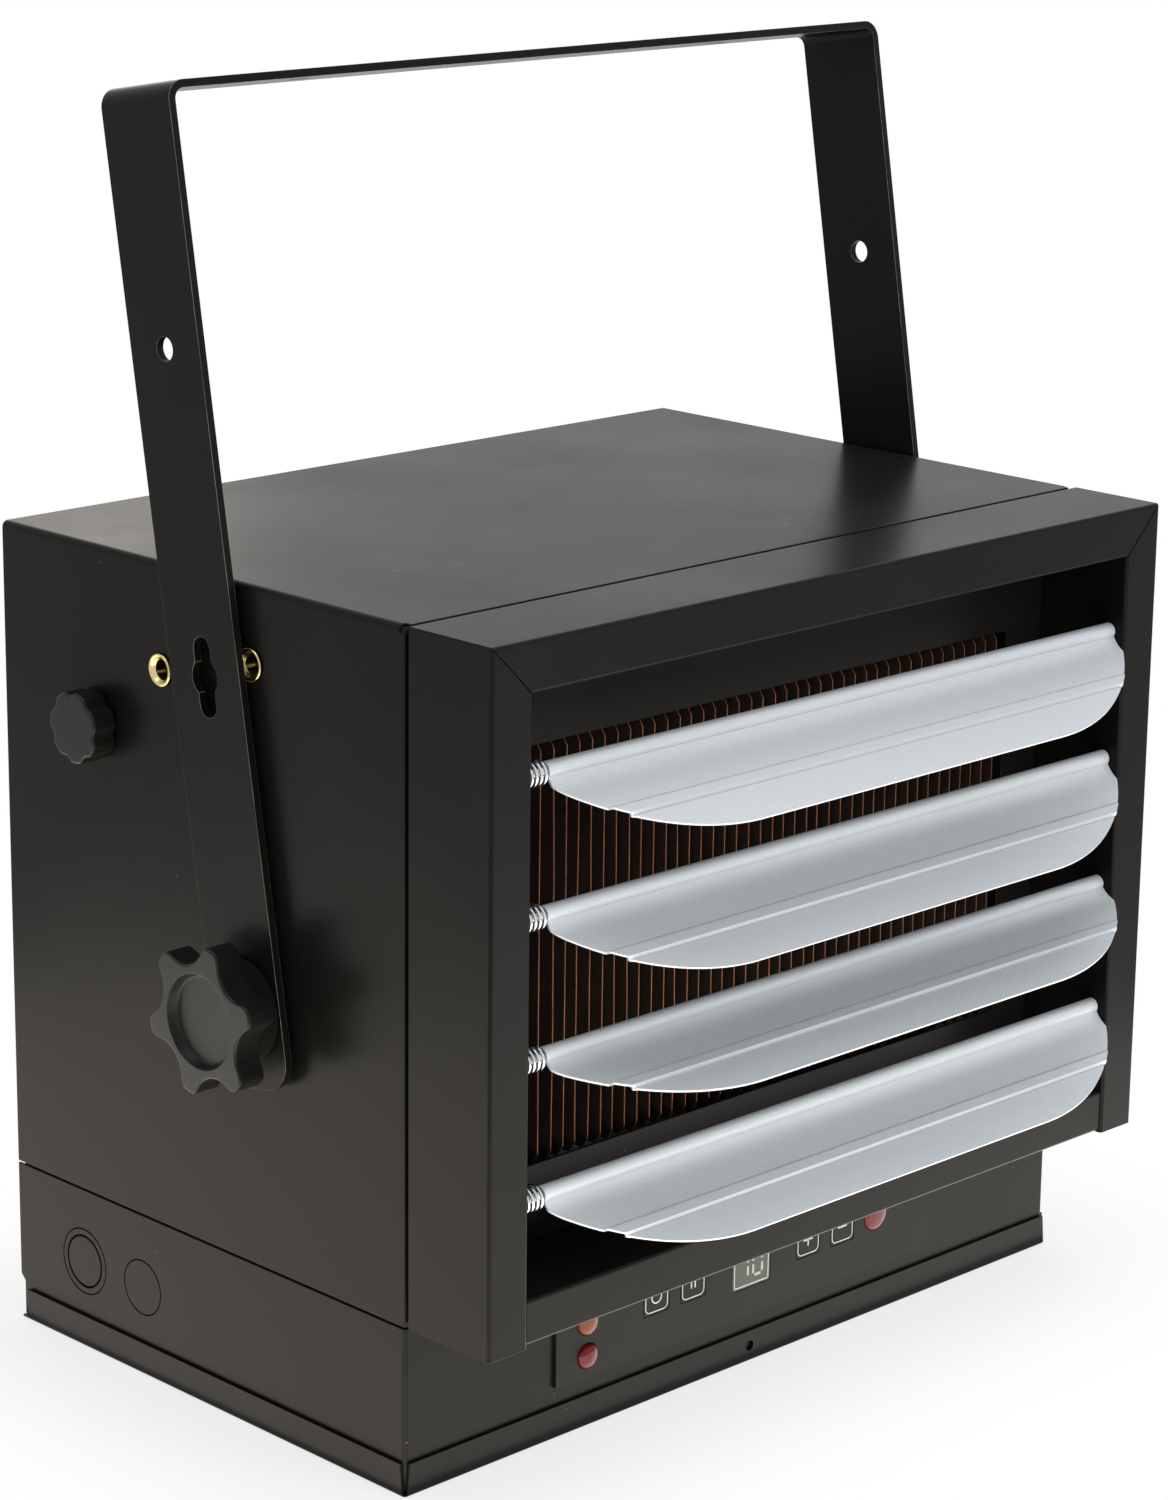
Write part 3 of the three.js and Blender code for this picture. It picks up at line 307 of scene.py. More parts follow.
def folded(path, widths, arrange, lines=(), holes=(), left_out=None, ends=None):
    """A blank folded along a path.

    arrange takes the path's two coordinates and the place across it, and gives x, y, z. ends gives, from
    the path's two coordinates, where the first and the last line across really are.
    """
    distance, corners = path
    flat, groups = blank(np.concatenate([distance, lines]), widths, holes, left_out)
    u, v = (np.interp(flat[:, 0], distance, corners[:, k]) for k in range(2))
    w = flat[:, 1]
    if ends:
        low, high = ends(u, v)
        w = np.where(np.isclose(w, min(widths)), low, np.where(np.isclose(w, max(widths)), high, w))
    return Shape(np.column_stack(np.broadcast_arrays(*arrange(u, v, w))), groups, flat)


def rectangle(x0, x1, z0, z1):
    """The corners of a rectangle."""
    return np.array([(x0, z0), (x1, z0), (x1, z1), (x0, z1)])


def circle(x, z, radius, steps=48):
    """Points round a circle."""
    angle = np.linspace(0, 2 * np.pi, steps, endpoint=False)
    return np.column_stack([x + radius * np.cos(angle), z + radius * np.sin(angle)])


def rounded_box(x, z, half_width, half_height, radius, steps=8):
    """Points round a rectangle whose corners are quarter circles."""
    angle = np.linspace(0, np.pi / 2, steps)
    quarters = []
    for k, (right, up) in enumerate([(1, 1), (-1, 1), (-1, -1), (1, -1)]):
        turn = angle + k * np.pi / 2
        quarters.append(np.column_stack([
            x + right * (half_width - radius) + radius * np.cos(turn),
            z + up * (half_height - radius) + radius * np.sin(turn),
        ]))
    return np.vstack(quarters)


FACES_WITHOUT_HOLES = 5  # the kind of triangulation that leaves out what lies in a hole
SAME_POINT = 1e-7


def plate(outer, holes, arrange):
    """A flat plate: the area inside one outline and outside the others, by constrained triangulation."""
    loops = [outer, *holes]
    starts = np.cumsum([0] + [len(loop) for loop in loops[:-1]])
    rings = [list(range(start, start + len(loop))) for start, loop in zip(starts, loops)]
    places = [Vector(point) for point in np.vstack(loops).tolist()]
    found, _, faces, *_ = delaunay_2d_cdt(places, [], rings, FACES_WITHOUT_HOLES, SAME_POINT)
    flat = np.array([tuple(point) for point in found])
    sizes = sorted({len(face) for face in faces})
    groups = [[face for face in faces if len(face) == size] for size in sizes]
    return Shape(np.column_stack(np.broadcast_arrays(*arrange(*flat.T))), groups, flat)


def stroke(path, width, closed=False):
    """A flat ribbon along a path in the x z plane: each point gives two, half the width to either side."""
    path = np.asarray(path, float)
    if closed:
        path = np.vstack([path, path[:1]])
        ahead = np.roll(path[:-1], -1, axis=0) - np.roll(path[:-1], 1, axis=0)
        ahead = np.vstack([ahead, ahead[:1]])
    else:
        ahead = np.gradient(path, axis=0)
    ahead = ahead / np.linalg.norm(ahead, axis=1)[:, None]
    across = np.column_stack([-ahead[:, 1], ahead[:, 0]]) * width / 2
    points = np.stack([path - across, path + across], axis=1).reshape(-1, 2)
    flat = np.column_stack([points[:, 0], np.zeros(len(points)), points[:, 1]])
    return Shape(flat, [grid_faces(len(path), 2)])


# ---------------------------------------------------------------- pieces

DOUBLED = 1e-6  # points nearer than this are one


def new_mesh(name, shape):
    """A mesh from a shape's arrays: its doubled points are merged, and its flat places are its UV map."""
    corners = np.concatenate([group.ravel() for group in shape.groups])
    sizes = np.concatenate([np.full(len(group), group.shape[1]) for group in shape.groups])
    marks = np.concatenate([np.full(len(group), mark) for group, mark in zip(shape.groups, shape.marks)])
    mesh = bpy.data.meshes.new(name)
    mesh.vertices.add(len(shape.points))
    mesh.vertices.foreach_set("co", shape.points.astype(np.float32).ravel())
    mesh.loops.add(len(corners))
    mesh.loops.foreach_set("vertex_index", corners.astype(np.int32))
    mesh.polygons.add(len(sizes))
    mesh.polygons.foreach_set("loop_start", (np.cumsum(sizes) - sizes).astype(np.int32))
    mesh.update(calc_edges=True)
    mesh.polygons.foreach_set("material_index", marks.astype(np.int32))
    mesh.polygons.foreach_set("use_smooth", np.ones(len(sizes), bool))
    mesh.uv_layers.new(name="flat").data.foreach_set("uv", shape.flat[corners].astype(np.float32).ravel())
    work = bmesh.new()
    work.from_mesh(mesh)
    bmesh.ops.remove_doubles(work, verts=work.verts, dist=DOUBLED)
    work.to_mesh(mesh)
    work.free()
    return mesh


EDGE = 0.00025  # rounding of a sheet's cut edges
EDGE_ANGLE = math.radians(38)  # edges that turn less stay as they are


def piece(name, shape, finish, body="heater", replaces=(), thickness=0.0, offset=-1.0, edge=EDGE, segments=2,
          edge_mark=-1):
    """A new object: sheet gets its thickness, sharp edges are rounded, and flat faces keep their normals.

    edge_mark is the number of the rounded edges' own finish, or -1 where they have that of the faces.
    """
    finishes = [finish] if isinstance(finish, str) else finish
    mesh = new_mesh(name, shape)
    for key in finishes:
        mesh.materials.append(bpy.data.materials[key])
    made = bpy.data.objects.new(name, mesh)
    bpy.context.scene.collection.objects.link(made)
    if thickness:
        wall = made.modifiers.new("Sheet thickness", "SOLIDIFY")
        wall.thickness = thickness
        wall.offset = offset
        wall.use_even_offset = True
    if edge:
        rounding = made.modifiers.new("Rounded edges", "BEVEL")
        rounding.width = edge
        rounding.segments = segments
        rounding.limit_method = "ANGLE"
        rounding.angle_limit = EDGE_ANGLE
        rounding.miter_outer = "MITER_ARC"
        rounding.material = edge_mark
    made.modifiers.new("Flat faces", "WEIGHTED_NORMAL")
    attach(made, body)
    if replaces:
        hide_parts(*([replaces] if isinstance(replaces, str) else replaces))
    return made


def dress(node, finish):
    """A node whose shape is right gets its finish in its own material slots."""
    mesh = frame["nodes"][node].data
    if not mesh.materials:
        mesh.materials.append(None)
    for k in range(len(mesh.materials)):
        mesh.materials[k] = bpy.data.materials[finish]


# ---------------------------------------------------------------- finishes


def linear(code):
    """An sRGB hex colour as linear values.

    They are v / 12.92 up to 0.04045, and ((v + 0.055) / 1.055) to the power 2.4 above it.
    """
    values = np.array([int(code[k:k + 2], 16) / 255 for k in (1, 3, 5)])
    return [float(v) for v in np.where(values <= 0.04045, values / 12.92, ((values + 0.055) / 1.055) ** 2.4)]


def rgba(code):
    """An sRGB hex colour as linear red, green, blue and an alpha of 1."""
    return [*linear(code), 1.0]


def add(tree, kind, inputs=None, **settings):
    """Adds a node: settings are its own properties, inputs are the values or the sockets that go into it."""
    made = tree.nodes.new(kind)
    for name, value in settings.items():
        setattr(made, name, value)
    for key, value in (inputs or {}).items():
        if isinstance(value, bpy.types.NodeSocket):
            tree.links.new(value, made.inputs[key])
        else:
            made.inputs[key].default_value = value
    return made


def started(name, **values):
    """A new material: its node tree, its shader with plain values, and its object coordinates."""
    material = bpy.data.materials.new(name)
    material.use_nodes = True
    tree = material.node_tree
    shader = tree.nodes["Principled BSDF"]
    for key, value in values.items():
        shader.inputs[key.replace("_", " ")].default_value = value
    return tree, shader, add(tree, "ShaderNodeTexCoord").outputs["Object"]


def connect(tree, shader, **sockets):
    """Links sockets to the shader's inputs of the same names."""
    for key, socket in sockets.items():
        tree.links.new(socket, shader.inputs[key.replace("_", " ")])


def mottled(tree, place, size, detail, dark, pale, roughness=0.5):
    """Two linear colours mixed by a cloudy noise of one size: the mixed colour, and the noise."""
    cloud = add(tree, "ShaderNodeTexNoise", {
        "Vector": place, "Scale": 1 / size, "Detail": detail, "Roughness": roughness,
    })
    tint = add(tree, "ShaderNodeMix", {
        "Factor": cloud.outputs["Fac"], 6: [*dark, 1], 7: [*pale, 1],
    }, data_type="RGBA")
    return tint.outputs[2], cloud.outputs["Fac"]


COAT = "Satin black powder coat"

ORANGE_PEEL = 0.0011  # from crest to crest, in paint of this thickness
PEEL_DEPTH = 0.00002  # from crest to trough on the cabinet
STRAP_PEEL_DEPTH = 0.00003  # and on the strap, whose coat is thicker
HAZE = 0.09  # width of the faint cloudy patches that handling leaves
SPECK = 0.014  # mean spacing of dust specks
SPECK_CORE = 0.012  # a speck's radius, as a share of that spacing
SPECK_RIM = 0.024  # where its soft rim ends
SPECK_STRENGTH = 0.4
NO_SPECK = 0.66  # share of the places that stay bare
STREAK = 0.0016  # width of a rubbing streak, drawn coarser than a real one, which wouldn't show
STREAK_STRETCH = 0.16  # its width over its length
STREAK_TURN = 0.5  # its angle to the front, in radians
RUB = 0.06  # size of a rubbed patch
RUB_STRENGTH = 0.12
DUST = "#a89f90"
COAT_IOR = 1.17  # the flatting agent leaves little mirror seen square on, and much at a low angle
WEAR = 0.03  # length over which the strap's edges are more or less worn
CHIP = 0.0016  # size of a chip in their coat
BARE_STEEL = "#b0aca4"
DRAWING_LINE = 0.0012  # width of the blades' drawing lines, coarser than real ones, so that they show
DRAWING_STRETCH = 0.12  # their width over their length
FLAKE = 0.00045  # a metal flake and its halo
PLASTIC_CLOUD = 0.012  # size of the uneven patches on moulded plastic
OXIDE_CLOUD = 0.014  # size of the browned patches on a fin
FIN_EDGE_CLOUD = 0.006  # length of the duller patches in a fin edge's painted highlight
LENS_CLOUD = 0.003  # unevenness of a lens a few millimetres wide


def coat_tones(tree, place):
    """The coat's two tones mixed by a soft haze, and the haze itself."""
    colours = bpy.context.scene.heater_finishes
    return mottled(tree, place, HAZE, 5.0, colours.coat_dark, colours.coat_pale, roughness=0.6)


def coat_surface(tree, shader, place, haze, depth):
    """The coat's gloss, a little duller where the haze is strong, and its orange peel."""
    gloss = add(tree, "ShaderNodeMapRange", {
        "Value": haze, "From Min": 0.3, "From Max": 0.7, "To Min": 0.27, "To Max": 0.34,
    })
    peel = add(tree, "ShaderNodeTexNoise", {"Vector": place, "Scale": 1 / ORANGE_PEEL, "Detail": 1.0})
    bump = add(tree, "ShaderNodeBump", {"Height": peel.outputs["Fac"], "Distance": depth, "Strength": 0.5})
    connect(tree, shader, Roughness=gloss.outputs["Result"], Normal=bump.outputs["Normal"])


def powder_coat():
    """Polyester powder coat, sprayed and baked on steel: near black and satin, with a fine orange peel.

    A faint haze makes it uneven, sparse dust specks show pale, and its top is faintly rubbed in patches.
    """
    tree, shader, place = started(COAT, IOR=COAT_IOR)
    tint, haze = coat_tones(tree, place)
    speck = add(tree, "ShaderNodeTexVoronoi", {"Vector": place, "Scale": 1 / SPECK})
    dot = add(tree, "ShaderNodeMapRange", {
        "Value": speck.outputs["Distance"], "From Min": SPECK_CORE, "From Max": SPECK_RIM,
        "To Min": SPECK_STRENGTH, "To Max": 0.0,
    })
    rare = add(tree, "ShaderNodeMath", {0: speck.outputs["Color"], 1: NO_SPECK}, operation="GREATER_THAN")
    shown = add(tree, "ShaderNodeMath", {
        0: dot.outputs["Result"], 1: rare.outputs["Value"],
    }, operation="MULTIPLY")
    streaks = add(tree, "ShaderNodeMapping", {
        "Vector": place, "Rotation": (0, 0, STREAK_TURN), "Scale": (STREAK_STRETCH, 1, 1),
    })
    hairs = add(tree, "ShaderNodeTexNoise", {
        "Vector": streaks.outputs["Vector"], "Scale": 1 / STREAK, "Detail": 2.0, "Distortion": 0.6,
    })
    hair = add(tree, "ShaderNodeMapRange", {"Value": hairs.outputs["Fac"], "From Min": 0.62, "From Max": 0.7})
    patch = add(tree, "ShaderNodeTexNoise", {"Vector": place, "Scale": 1 / RUB, "Detail": 2.0})
    rubbed = add(tree, "ShaderNodeMapRange", {
        "Value": patch.outputs["Fac"], "From Min": 0.56, "From Max": 0.66, "To Max": RUB_STRENGTH,
    })
    height = add(tree, "ShaderNodeSeparateXYZ", {"Vector": place})
    topmost = add(tree, "ShaderNodeMath", {0: height.outputs["Z"], 1: ROOF - SHEET}, operation="GREATER_THAN")
    scuff = add(tree, "ShaderNodeMath", {
        0: hair.outputs["Result"], 1: rubbed.outputs["Result"],
    }, operation="MULTIPLY")
    seen = add(tree, "ShaderNodeMath", {
        0: scuff.outputs["Value"], 1: topmost.outputs["Value"],
    }, operation="MULTIPLY")
    marks = add(tree, "ShaderNodeMath", {
        0: shown.outputs["Value"], 1: seen.outputs["Value"],
    }, operation="ADD")
    dusty = add(tree, "ShaderNodeMix", {
        "Factor": marks.outputs["Value"], 6: tint, 7: rgba(DUST),
    }, data_type="RGBA")
    connect(tree, shader, Base_Color=dusty.outputs[2])
    coat_surface(tree, shader, place, haze, PEEL_DEPTH)


def strap_coat():
    """The same coat on the 3 mm strap, without specks or streaks."""
    tree, shader, place = started("Strap powder coat", IOR=COAT_IOR)
    tint, haze = coat_tones(tree, place)
    connect(tree, shader, Base_Color=tint)
    coat_surface(tree, shader, place, haze, STRAP_PEEL_DEPTH)


def rubbed_edge():
    """The strap's edges, where the coat is thin and rubbed through: a pale broken line with bare chips."""
    tree, shader, place = started("Rubbed coat edge", IOR=COAT_IOR)
    worn = add(tree, "ShaderNodeTexNoise", {
        "Vector": place, "Scale": 1 / WEAR, "Detail": 5.0, "Roughness": 0.7,
    })
    thin = add(tree, "ShaderNodeMapRange", {
        "Value": worn.outputs["Fac"], "From Min": 0.4, "From Max": 0.65, "To Min": 0.2, "To Max": 0.85,
    })
    flakes = add(tree, "ShaderNodeTexNoise", {"Vector": place, "Scale": 1 / CHIP, "Detail": 2.0})
    chip = add(tree, "ShaderNodeMapRange", {
        "Value": flakes.outputs["Fac"], "From Min": 0.6, "From Max": 0.64, "To Max": 0.7,
    })
    bare = add(tree, "ShaderNodeMath", {
        0: thin.outputs["Result"], 1: chip.outputs["Result"],
    }, operation="MAXIMUM")
    tint, haze = coat_tones(tree, place)
    colour = add(tree, "ShaderNodeMix", {
        "Factor": bare.outputs["Value"], 6: tint, 7: rgba(BARE_STEEL),
    }, data_type="RGBA")
    connect(tree, shader, Base_Color=colour.outputs[2])
    coat_surface(tree, shader, place, haze, STRAP_PEEL_DEPTH)


def blade_enamel():
    """Silver grey stoving enamel on thin steel.

    Metal flake gives it a soft sheen, and faint drawing lines run along the blade.
    """
    colours = bpy.context.scene.heater_finishes
    tree, shader, place = started("Silver grey enamel", Metallic=0.25, IOR=1.4)
    stretched = add(tree, "ShaderNodeMapping", {"Vector": place, "Scale": (DRAWING_STRETCH, 1.0, 1.0)})
    lines = add(tree, "ShaderNodeTexNoise", {
        "Vector": stretched.outputs["Vector"], "Scale": 1 / DRAWING_LINE, "Detail": 3.0, "Roughness": 0.6,
    })
    tint, _ = mottled(tree, place, FLAKE, 1.0, colours.enamel_dark, colours.enamel_pale)
    gloss = add(tree, "ShaderNodeMapRange", {"Value": lines.outputs["Fac"], "To Min": 0.38, "To Max": 0.5})
    bump = add(tree, "ShaderNodeBump", {
        "Height": lines.outputs["Fac"], "Distance": 0.000006, "Strength": 0.3,
    })
    connect(tree, shader, Base_Color=tint, Roughness=gloss.outputs["Result"], Normal=bump.outputs["Normal"])


def metal(name, dark, pale, grain, roughness):
    """Plated or rolled steel: a mirror of two close tones, mottled at the size of its grain.

    Its roughness varies a little, eight times as finely.
    """
    tree, shader, place = started(name, Metallic=1.0)
    tint, _ = mottled(tree, place, grain, 3.0, linear(dark), linear(pale))
    fine = add(tree, "ShaderNodeTexNoise", {"Vector": place, "Scale": 8 / grain, "Detail": 2.0})
    gloss = add(tree, "ShaderNodeMapRange", {
        "Value": fine.outputs["Fac"], "To Min": roughness - 0.06, "To Max": roughness + 0.08,
    })
    connect(tree, shader, Base_Color=tint, Roughness=gloss.outputs["Result"])


def moulded(name, dark, pale, roughness, texture, depth=0.00003, ior=1.35):
    """Moulded or filmed plastic and rubber: two close tones, and the matte grain that the tool left."""
    tree, shader, place = started(name, IOR=ior)
    tint, cloud = mottled(tree, place, PLASTIC_CLOUD, 4.0, linear(dark), linear(pale))
    gloss = add(tree, "ShaderNodeMapRange", {
        "Value": cloud, "To Min": roughness - 0.05, "To Max": roughness + 0.05,
    })
    grain = add(tree, "ShaderNodeTexNoise", {"Vector": place, "Scale": 1 / texture, "Detail": 2.0})
    bump = add(tree, "ShaderNodeBump", {"Height": grain.outputs["Fac"], "Distance": depth, "Strength": 0.6})
    connect(tree, shader, Base_Color=tint, Roughness=gloss.outputs["Result"], Normal=bump.outputs["Normal"])


def fin_plate():
    """Fin steel browned by heat: nearly black oxide, rusty brown where it is thin."""
    tree, shader, place = started("Oxidised fin plate", Metallic=0.3, Roughness=0.55, IOR=1.3)
    tint, _ = mottled(tree, place, OXIDE_CLOUD, 5.0, linear("#231c19"), linear("#42362f"))
    connect(tree, shader, Base_Color=tint)


def fin_edge_painted_highlight():
    """The sheared edge of a brazed fin, pale copper: a painted highlight that shows a bright line, dulled in
    patches.
    """
    tree, shader, place = started("Cut fin edge", Metallic=0.6, Roughness=0.45)
    tint, _ = mottled(tree, place, FIN_EDGE_CLOUD, 4.0, linear("#9c5c40"), linear("#e39c70"))
    connect(tree, shader, Base_Color=tint)


def lens(name, deep, pale, roughness=0.12):
    """Clear coloured polycarbonate over a dark base: deep colour, a clear gloss, slightly uneven."""
    tree, shader, place = started(name, IOR=1.32, Roughness=roughness)
    tint, _ = mottled(tree, place, LENS_CLOUD, 2.0, linear(deep), linear(pale))
    connect(tree, shader, Base_Color=tint)


class FinishColours(PropertyGroup):
    coat_dark: FloatVectorProperty(
        name="Coat, dark", description="Darkest tone of the black powder coat", subtype="COLOR", size=3,
        min=0, max=1, default=linear("#0d0d0c"),
    )
    coat_pale: FloatVectorProperty(
        name="Coat, pale", description="Palest tone of the black powder coat", subtype="COLOR", size=3,
        min=0, max=1, default=linear("#161513"),
    )
    enamel_dark: FloatVectorProperty(
        name="Enamel, dark", description="Darkest tone of the louvres' enamel", subtype="COLOR", size=3,
        min=0, max=1, default=linear("#b3b8bc"),
    )
    enamel_pale: FloatVectorProperty(
        name="Enamel, pale", description="Palest tone of the louvres' enamel", subtype="COLOR", size=3,
        min=0, max=1, default=linear("#ccd2d6"),
    )


class HEATER_OT_finishes(Operator):
    """Makes every material: coats, enamel, plating, plastics and lenses"""

    bl_idname = "heater.finishes"
    bl_label = "Finishes"

    def execute(self, context):
        powder_coat()
        strap_coat()
        rubbed_edge()
        blade_enamel()
        metal("Bright zinc plate", "#b4b8ba", "#e3e6e7", 0.004, 0.22)
        metal("Yellow zinc plate", "#a8924e", "#e8dba8", 0.003, 0.17)
        metal("Rolled steel", "#6d7174", "#a2a6a9", 0.012, 0.38)
        fin_plate()
        fin_edge_painted_highlight()
        moulded("Moulded nylon", "#111210", "#191a18", 0.36, 0.0007, ior=1.27)
        moulded("Moulded housing", "#171b1e", "#24292d", 0.48, 0.0009)
        moulded("Dark rubber", "#121212", "#1f1f1f", 0.8, 0.0005)
        moulded("Matte film", "#151615", "#1c1d1c", 0.42, 0.0004, depth=0.00001, ior=1.17)
        moulded("Grey printing ink", "#a9aba7", "#b9bbb6", 0.5, 0.0005, depth=0.000005)
        moulded("Display segments", "#8b8d80", "#9c9e90", 0.4, 0.0005, depth=0.000005)
        moulded("Solder resist", "#1e4a2c", "#2f6540", 0.35, 0.001)
        # Near black, for the painted shade on the plate behind the knockouts.
        moulded("Dark opening", "#050505", "#0a0a0a", 0.8, 0.001)
        lens("Red lens", "#3c060b", "#68101a")
        lens("Amber lens", "#4c2008", "#7a3a14")
        lens("Tinted window", "#30322d", "#3c3e38", 0.15)
        return {"FINISHED"}


# ---------------------------------------------------------------- cabinet


class CabinetSizes(PropertyGroup):
    fold: metres("Fold radius", "Outer radius of the wrapper's two folds", 0.0025)
    notch: metres("Relief notch", "Notch at each front corner of the wrapper", 0.003)
    flange: metres("Flange", "Width of the front flanges", 0.012)


def wrapper(sizes):
    """The folded cabinet wrapper, notched at its front corners, with the holes for its inserts."""
    path = rounded_path([(-SIDE, FLOOR), (-SIDE, ROOF), (SIDE, ROOF), (SIDE, FLOOR)], sizes.fold, 8)
    length = path[0][-1]
    wall = ROOF - FLOOR - sizes.fold
    bend = math.pi / 2 * sizes.fold
    spare = sizes.notch - sizes.fold
    notches = [(wall - spare, wall + bend + spare), (length - wall - bend - spare, length - wall + spare)]
    notch_end = SHELL_FRONT + sizes.notch
    nut_hole = 0.0048
    pivot_hole = 0.00615
    # How far the sheet's lines run above and beside its holes, which doesn't change its shape.
    pivot_up, pivot_side = 0.01, 0.009
    third_up, nut_up, nut_side = 0.0085, 0.007, 0.008
    first, second, third = LOCKS
    heights = [PIVOT.z - pivot_up, PIVOT.z + pivot_up, third.z - third_up, third.z + third_up]
    heights += [second.z - nut_up, (first.z + second.z) / 2, first.z + nut_up]
    across = [lock.y + step for lock in (third, second) for step in (-nut_side, nut_side)]
    across += [PIVOT.y - pivot_side, PIVOT.y + pivot_side]
    holes = []
    for place, radius in [*((lock, nut_hole) for lock in LOCKS), (PIVOT, pivot_hole)]:
        up = place.z - FLOOR
        holes += [(up, place.y, radius), (length - up, place.y, radius)]
    lines = [up for height in heights for up in (height - FLOOR, length - height + FLOOR)]
    lines += [line for pair in notches for line in pair]

    def in_notch(s, w):
        near = sum(((s > low) & (s < high) for low, high in notches), np.zeros_like(s, bool))
        return near & (w < notch_end)

    shell = folded(
        path, [SHELL_FRONT, notch_end, *across, BACK], lambda u, v, w: (u, w, v),
        lines=lines, holes=holes, left_out=in_notch,
    )
    centre = (0, (SHELL_FRONT + BACK) / 2, (FLOOR + ROOF) / 2)
    piece("wrapper", shell.away_from(centre), COAT, replaces="cabinet_shell", thickness=SHEET)


def wrapper_flanges(sizes):
    """The flanges turned in at the wrapper's front edges."""
    half = SHEET / 2
    inner = SIDE - sizes.flange
    top = ROOF - half
    behind = (0, BACK, FLOOR)
    flanges = joined(*(
        plate(rectangle(*corners), [], lambda u, v: (u, SHELL_FRONT, v)).away_from(behind)
        for corners in [
            (-SIDE + half, -inner, FLOOR, top - SHEET),
            (inner, SIDE - half, FLOOR, top - SHEET),
            (-SIDE + sizes.fold, SIDE - sizes.fold, ROOF - sizes.flange, top),
        ]
    ))
    piece("wrapper_flanges", flanges, COAT, thickness=SHEET)


def baffle_plate():
    """The plate behind the louvres, with the air window."""
    behind = (0, BACK, FLOOR)
    low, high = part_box("baffle_plate")
    window_half, window_height, sill = 0.14, 0.159, 0.047
    window = rectangle(-window_half, window_half, FLOOR + sill, FLOOR + sill + window_height)
    outline = rectangle(low.x, high.x, low.z, high.z)
    baffle = plate(outline, [window], lambda u, v: (u, low.y, v)).away_from(behind)
    piece("baffle", baffle, COAT, replaces="baffle_plate", thickness=high.y - low.y)


class HEATER_OT_cabinet(Operator):
    """The folded wrapper with its insert holes and flanges, and the baffle plate with the air window"""

    bl_idname = "heater.cabinet"
    bl_label = "Cabinet"

    def execute(self, context):
        sizes = context.scene.heater_cabinet
        wrapper(sizes)
        wrapper_flanges(sizes)
        baffle_plate()
        return {"FINISHED"}


# ---------------------------------------------------------------- louvre frame


class FrameSizes(PropertyGroup):
    fold: metres("Fold radius", "Outer radius of the channels' folds", 0.0014)
    lip: metres("Rail return", "How far the top rail's lower face runs back", 0.014)


def top_rail(sizes):
    """The frame's upper channel, its ends cut to the mitre."""
    path = rounded_path([
        (FRAME_BACK, ROOF), (FRAME_FRONT, ROOF), (FRAME_FRONT, RAIL_LOWER),
        (FRAME_FRONT + sizes.lip, RAIL_LOWER),
    ], sizes.fold)

    def rail_ends(y, z):
        reach = SIDE - MITRE * (ROOF + GAP - z)
        return -reach, reach

    rail = folded(path, [-SIDE, 0, SIDE], lambda y, z, x: (x, y, z), ends=rail_ends)
    inner = (0, (FRAME_FRONT + FRAME_BACK) / 2, (RAIL_LOWER + ROOF) / 2)
    piece("top_rail", rail.away_from(inner), COAT, replaces="frame_top_rail", thickness=SHEET)


def stiles(sizes):
    """The channels at either side, with the holes for the louvres' pins."""
    path = rounded_path([
        (-SIDE, FRAME_BACK), (-SIDE, FRAME_FRONT), (-STILE_INNER, FRAME_FRONT),
        (-STILE_INNER, FRAME_BACK),
    ], sizes.fold)

    def stile_ends(x, y):
        return np.full_like(x, FLOOR), ROOF - GAP - (x + SIDE) / MITRE

    pins = [joint(f"louvre_{k}_tilt")["pos_m"] for k in LOUVRES]
    length = path[0][-1]
    pin_hole = 0.00235
    above, beside = 0.006, 0.004  # from a pin to the sheet's lines round it
    heights = [z + step for _, _, z in pins for step in (-above, above)]
    holes = [(length - (FRAME_BACK - y), z, pin_hole) for _, y, z in pins]
    lines = [length - (FRAME_BACK - pins[0][1]) + step for step in (-beside, beside)]
    stile = folded(
        path, [FLOOR, *heights, ROOF], lambda x, y, z: (x, y, z),
        lines=lines, holes=holes, ends=stile_ends,
    )
    inner = ((-SIDE - STILE_INNER) / 2, (FRAME_FRONT + FRAME_BACK) / 2, (FLOOR + ROOF) / 2)
    stile = stile.away_from(inner)
    piece("stile_left", stile, COAT, replaces="frame_stile_left", thickness=SHEET)
    piece("stile_right", mirrored(stile), COAT, replaces="frame_stile_right", thickness=SHEET)


def bottom_rail(sizes):
    """The frame's lower channel."""
    low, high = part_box("frame_bottom_rail")
    path = rounded_path([(high.y, low.z), (low.y, low.z), (low.y, high.z), (high.y, high.z)], sizes.fold)
    rail = folded(path, [low.x, 0, high.x], lambda y, z, x: (x, y, z))
    rail = rail.away_from((0, (low.y + high.y) / 2, (low.z + high.z) / 2))
    piece("bottom_rail", rail, COAT, replaces="frame_bottom_rail", thickness=SHEET)


class HEATER_OT_frame(Operator):
    """The four folded channels round the louvres, mitred at the two upper corners"""

    bl_idname = "heater.frame"
    bl_label = "Louvre frame"

    def execute(self, context):
        sizes = context.scene.heater_frame
        top_rail(sizes)
        stiles(sizes)
        bottom_rail(sizes)
        return {"FINISHED"}


# ---------------------------------------------------------------- louvres


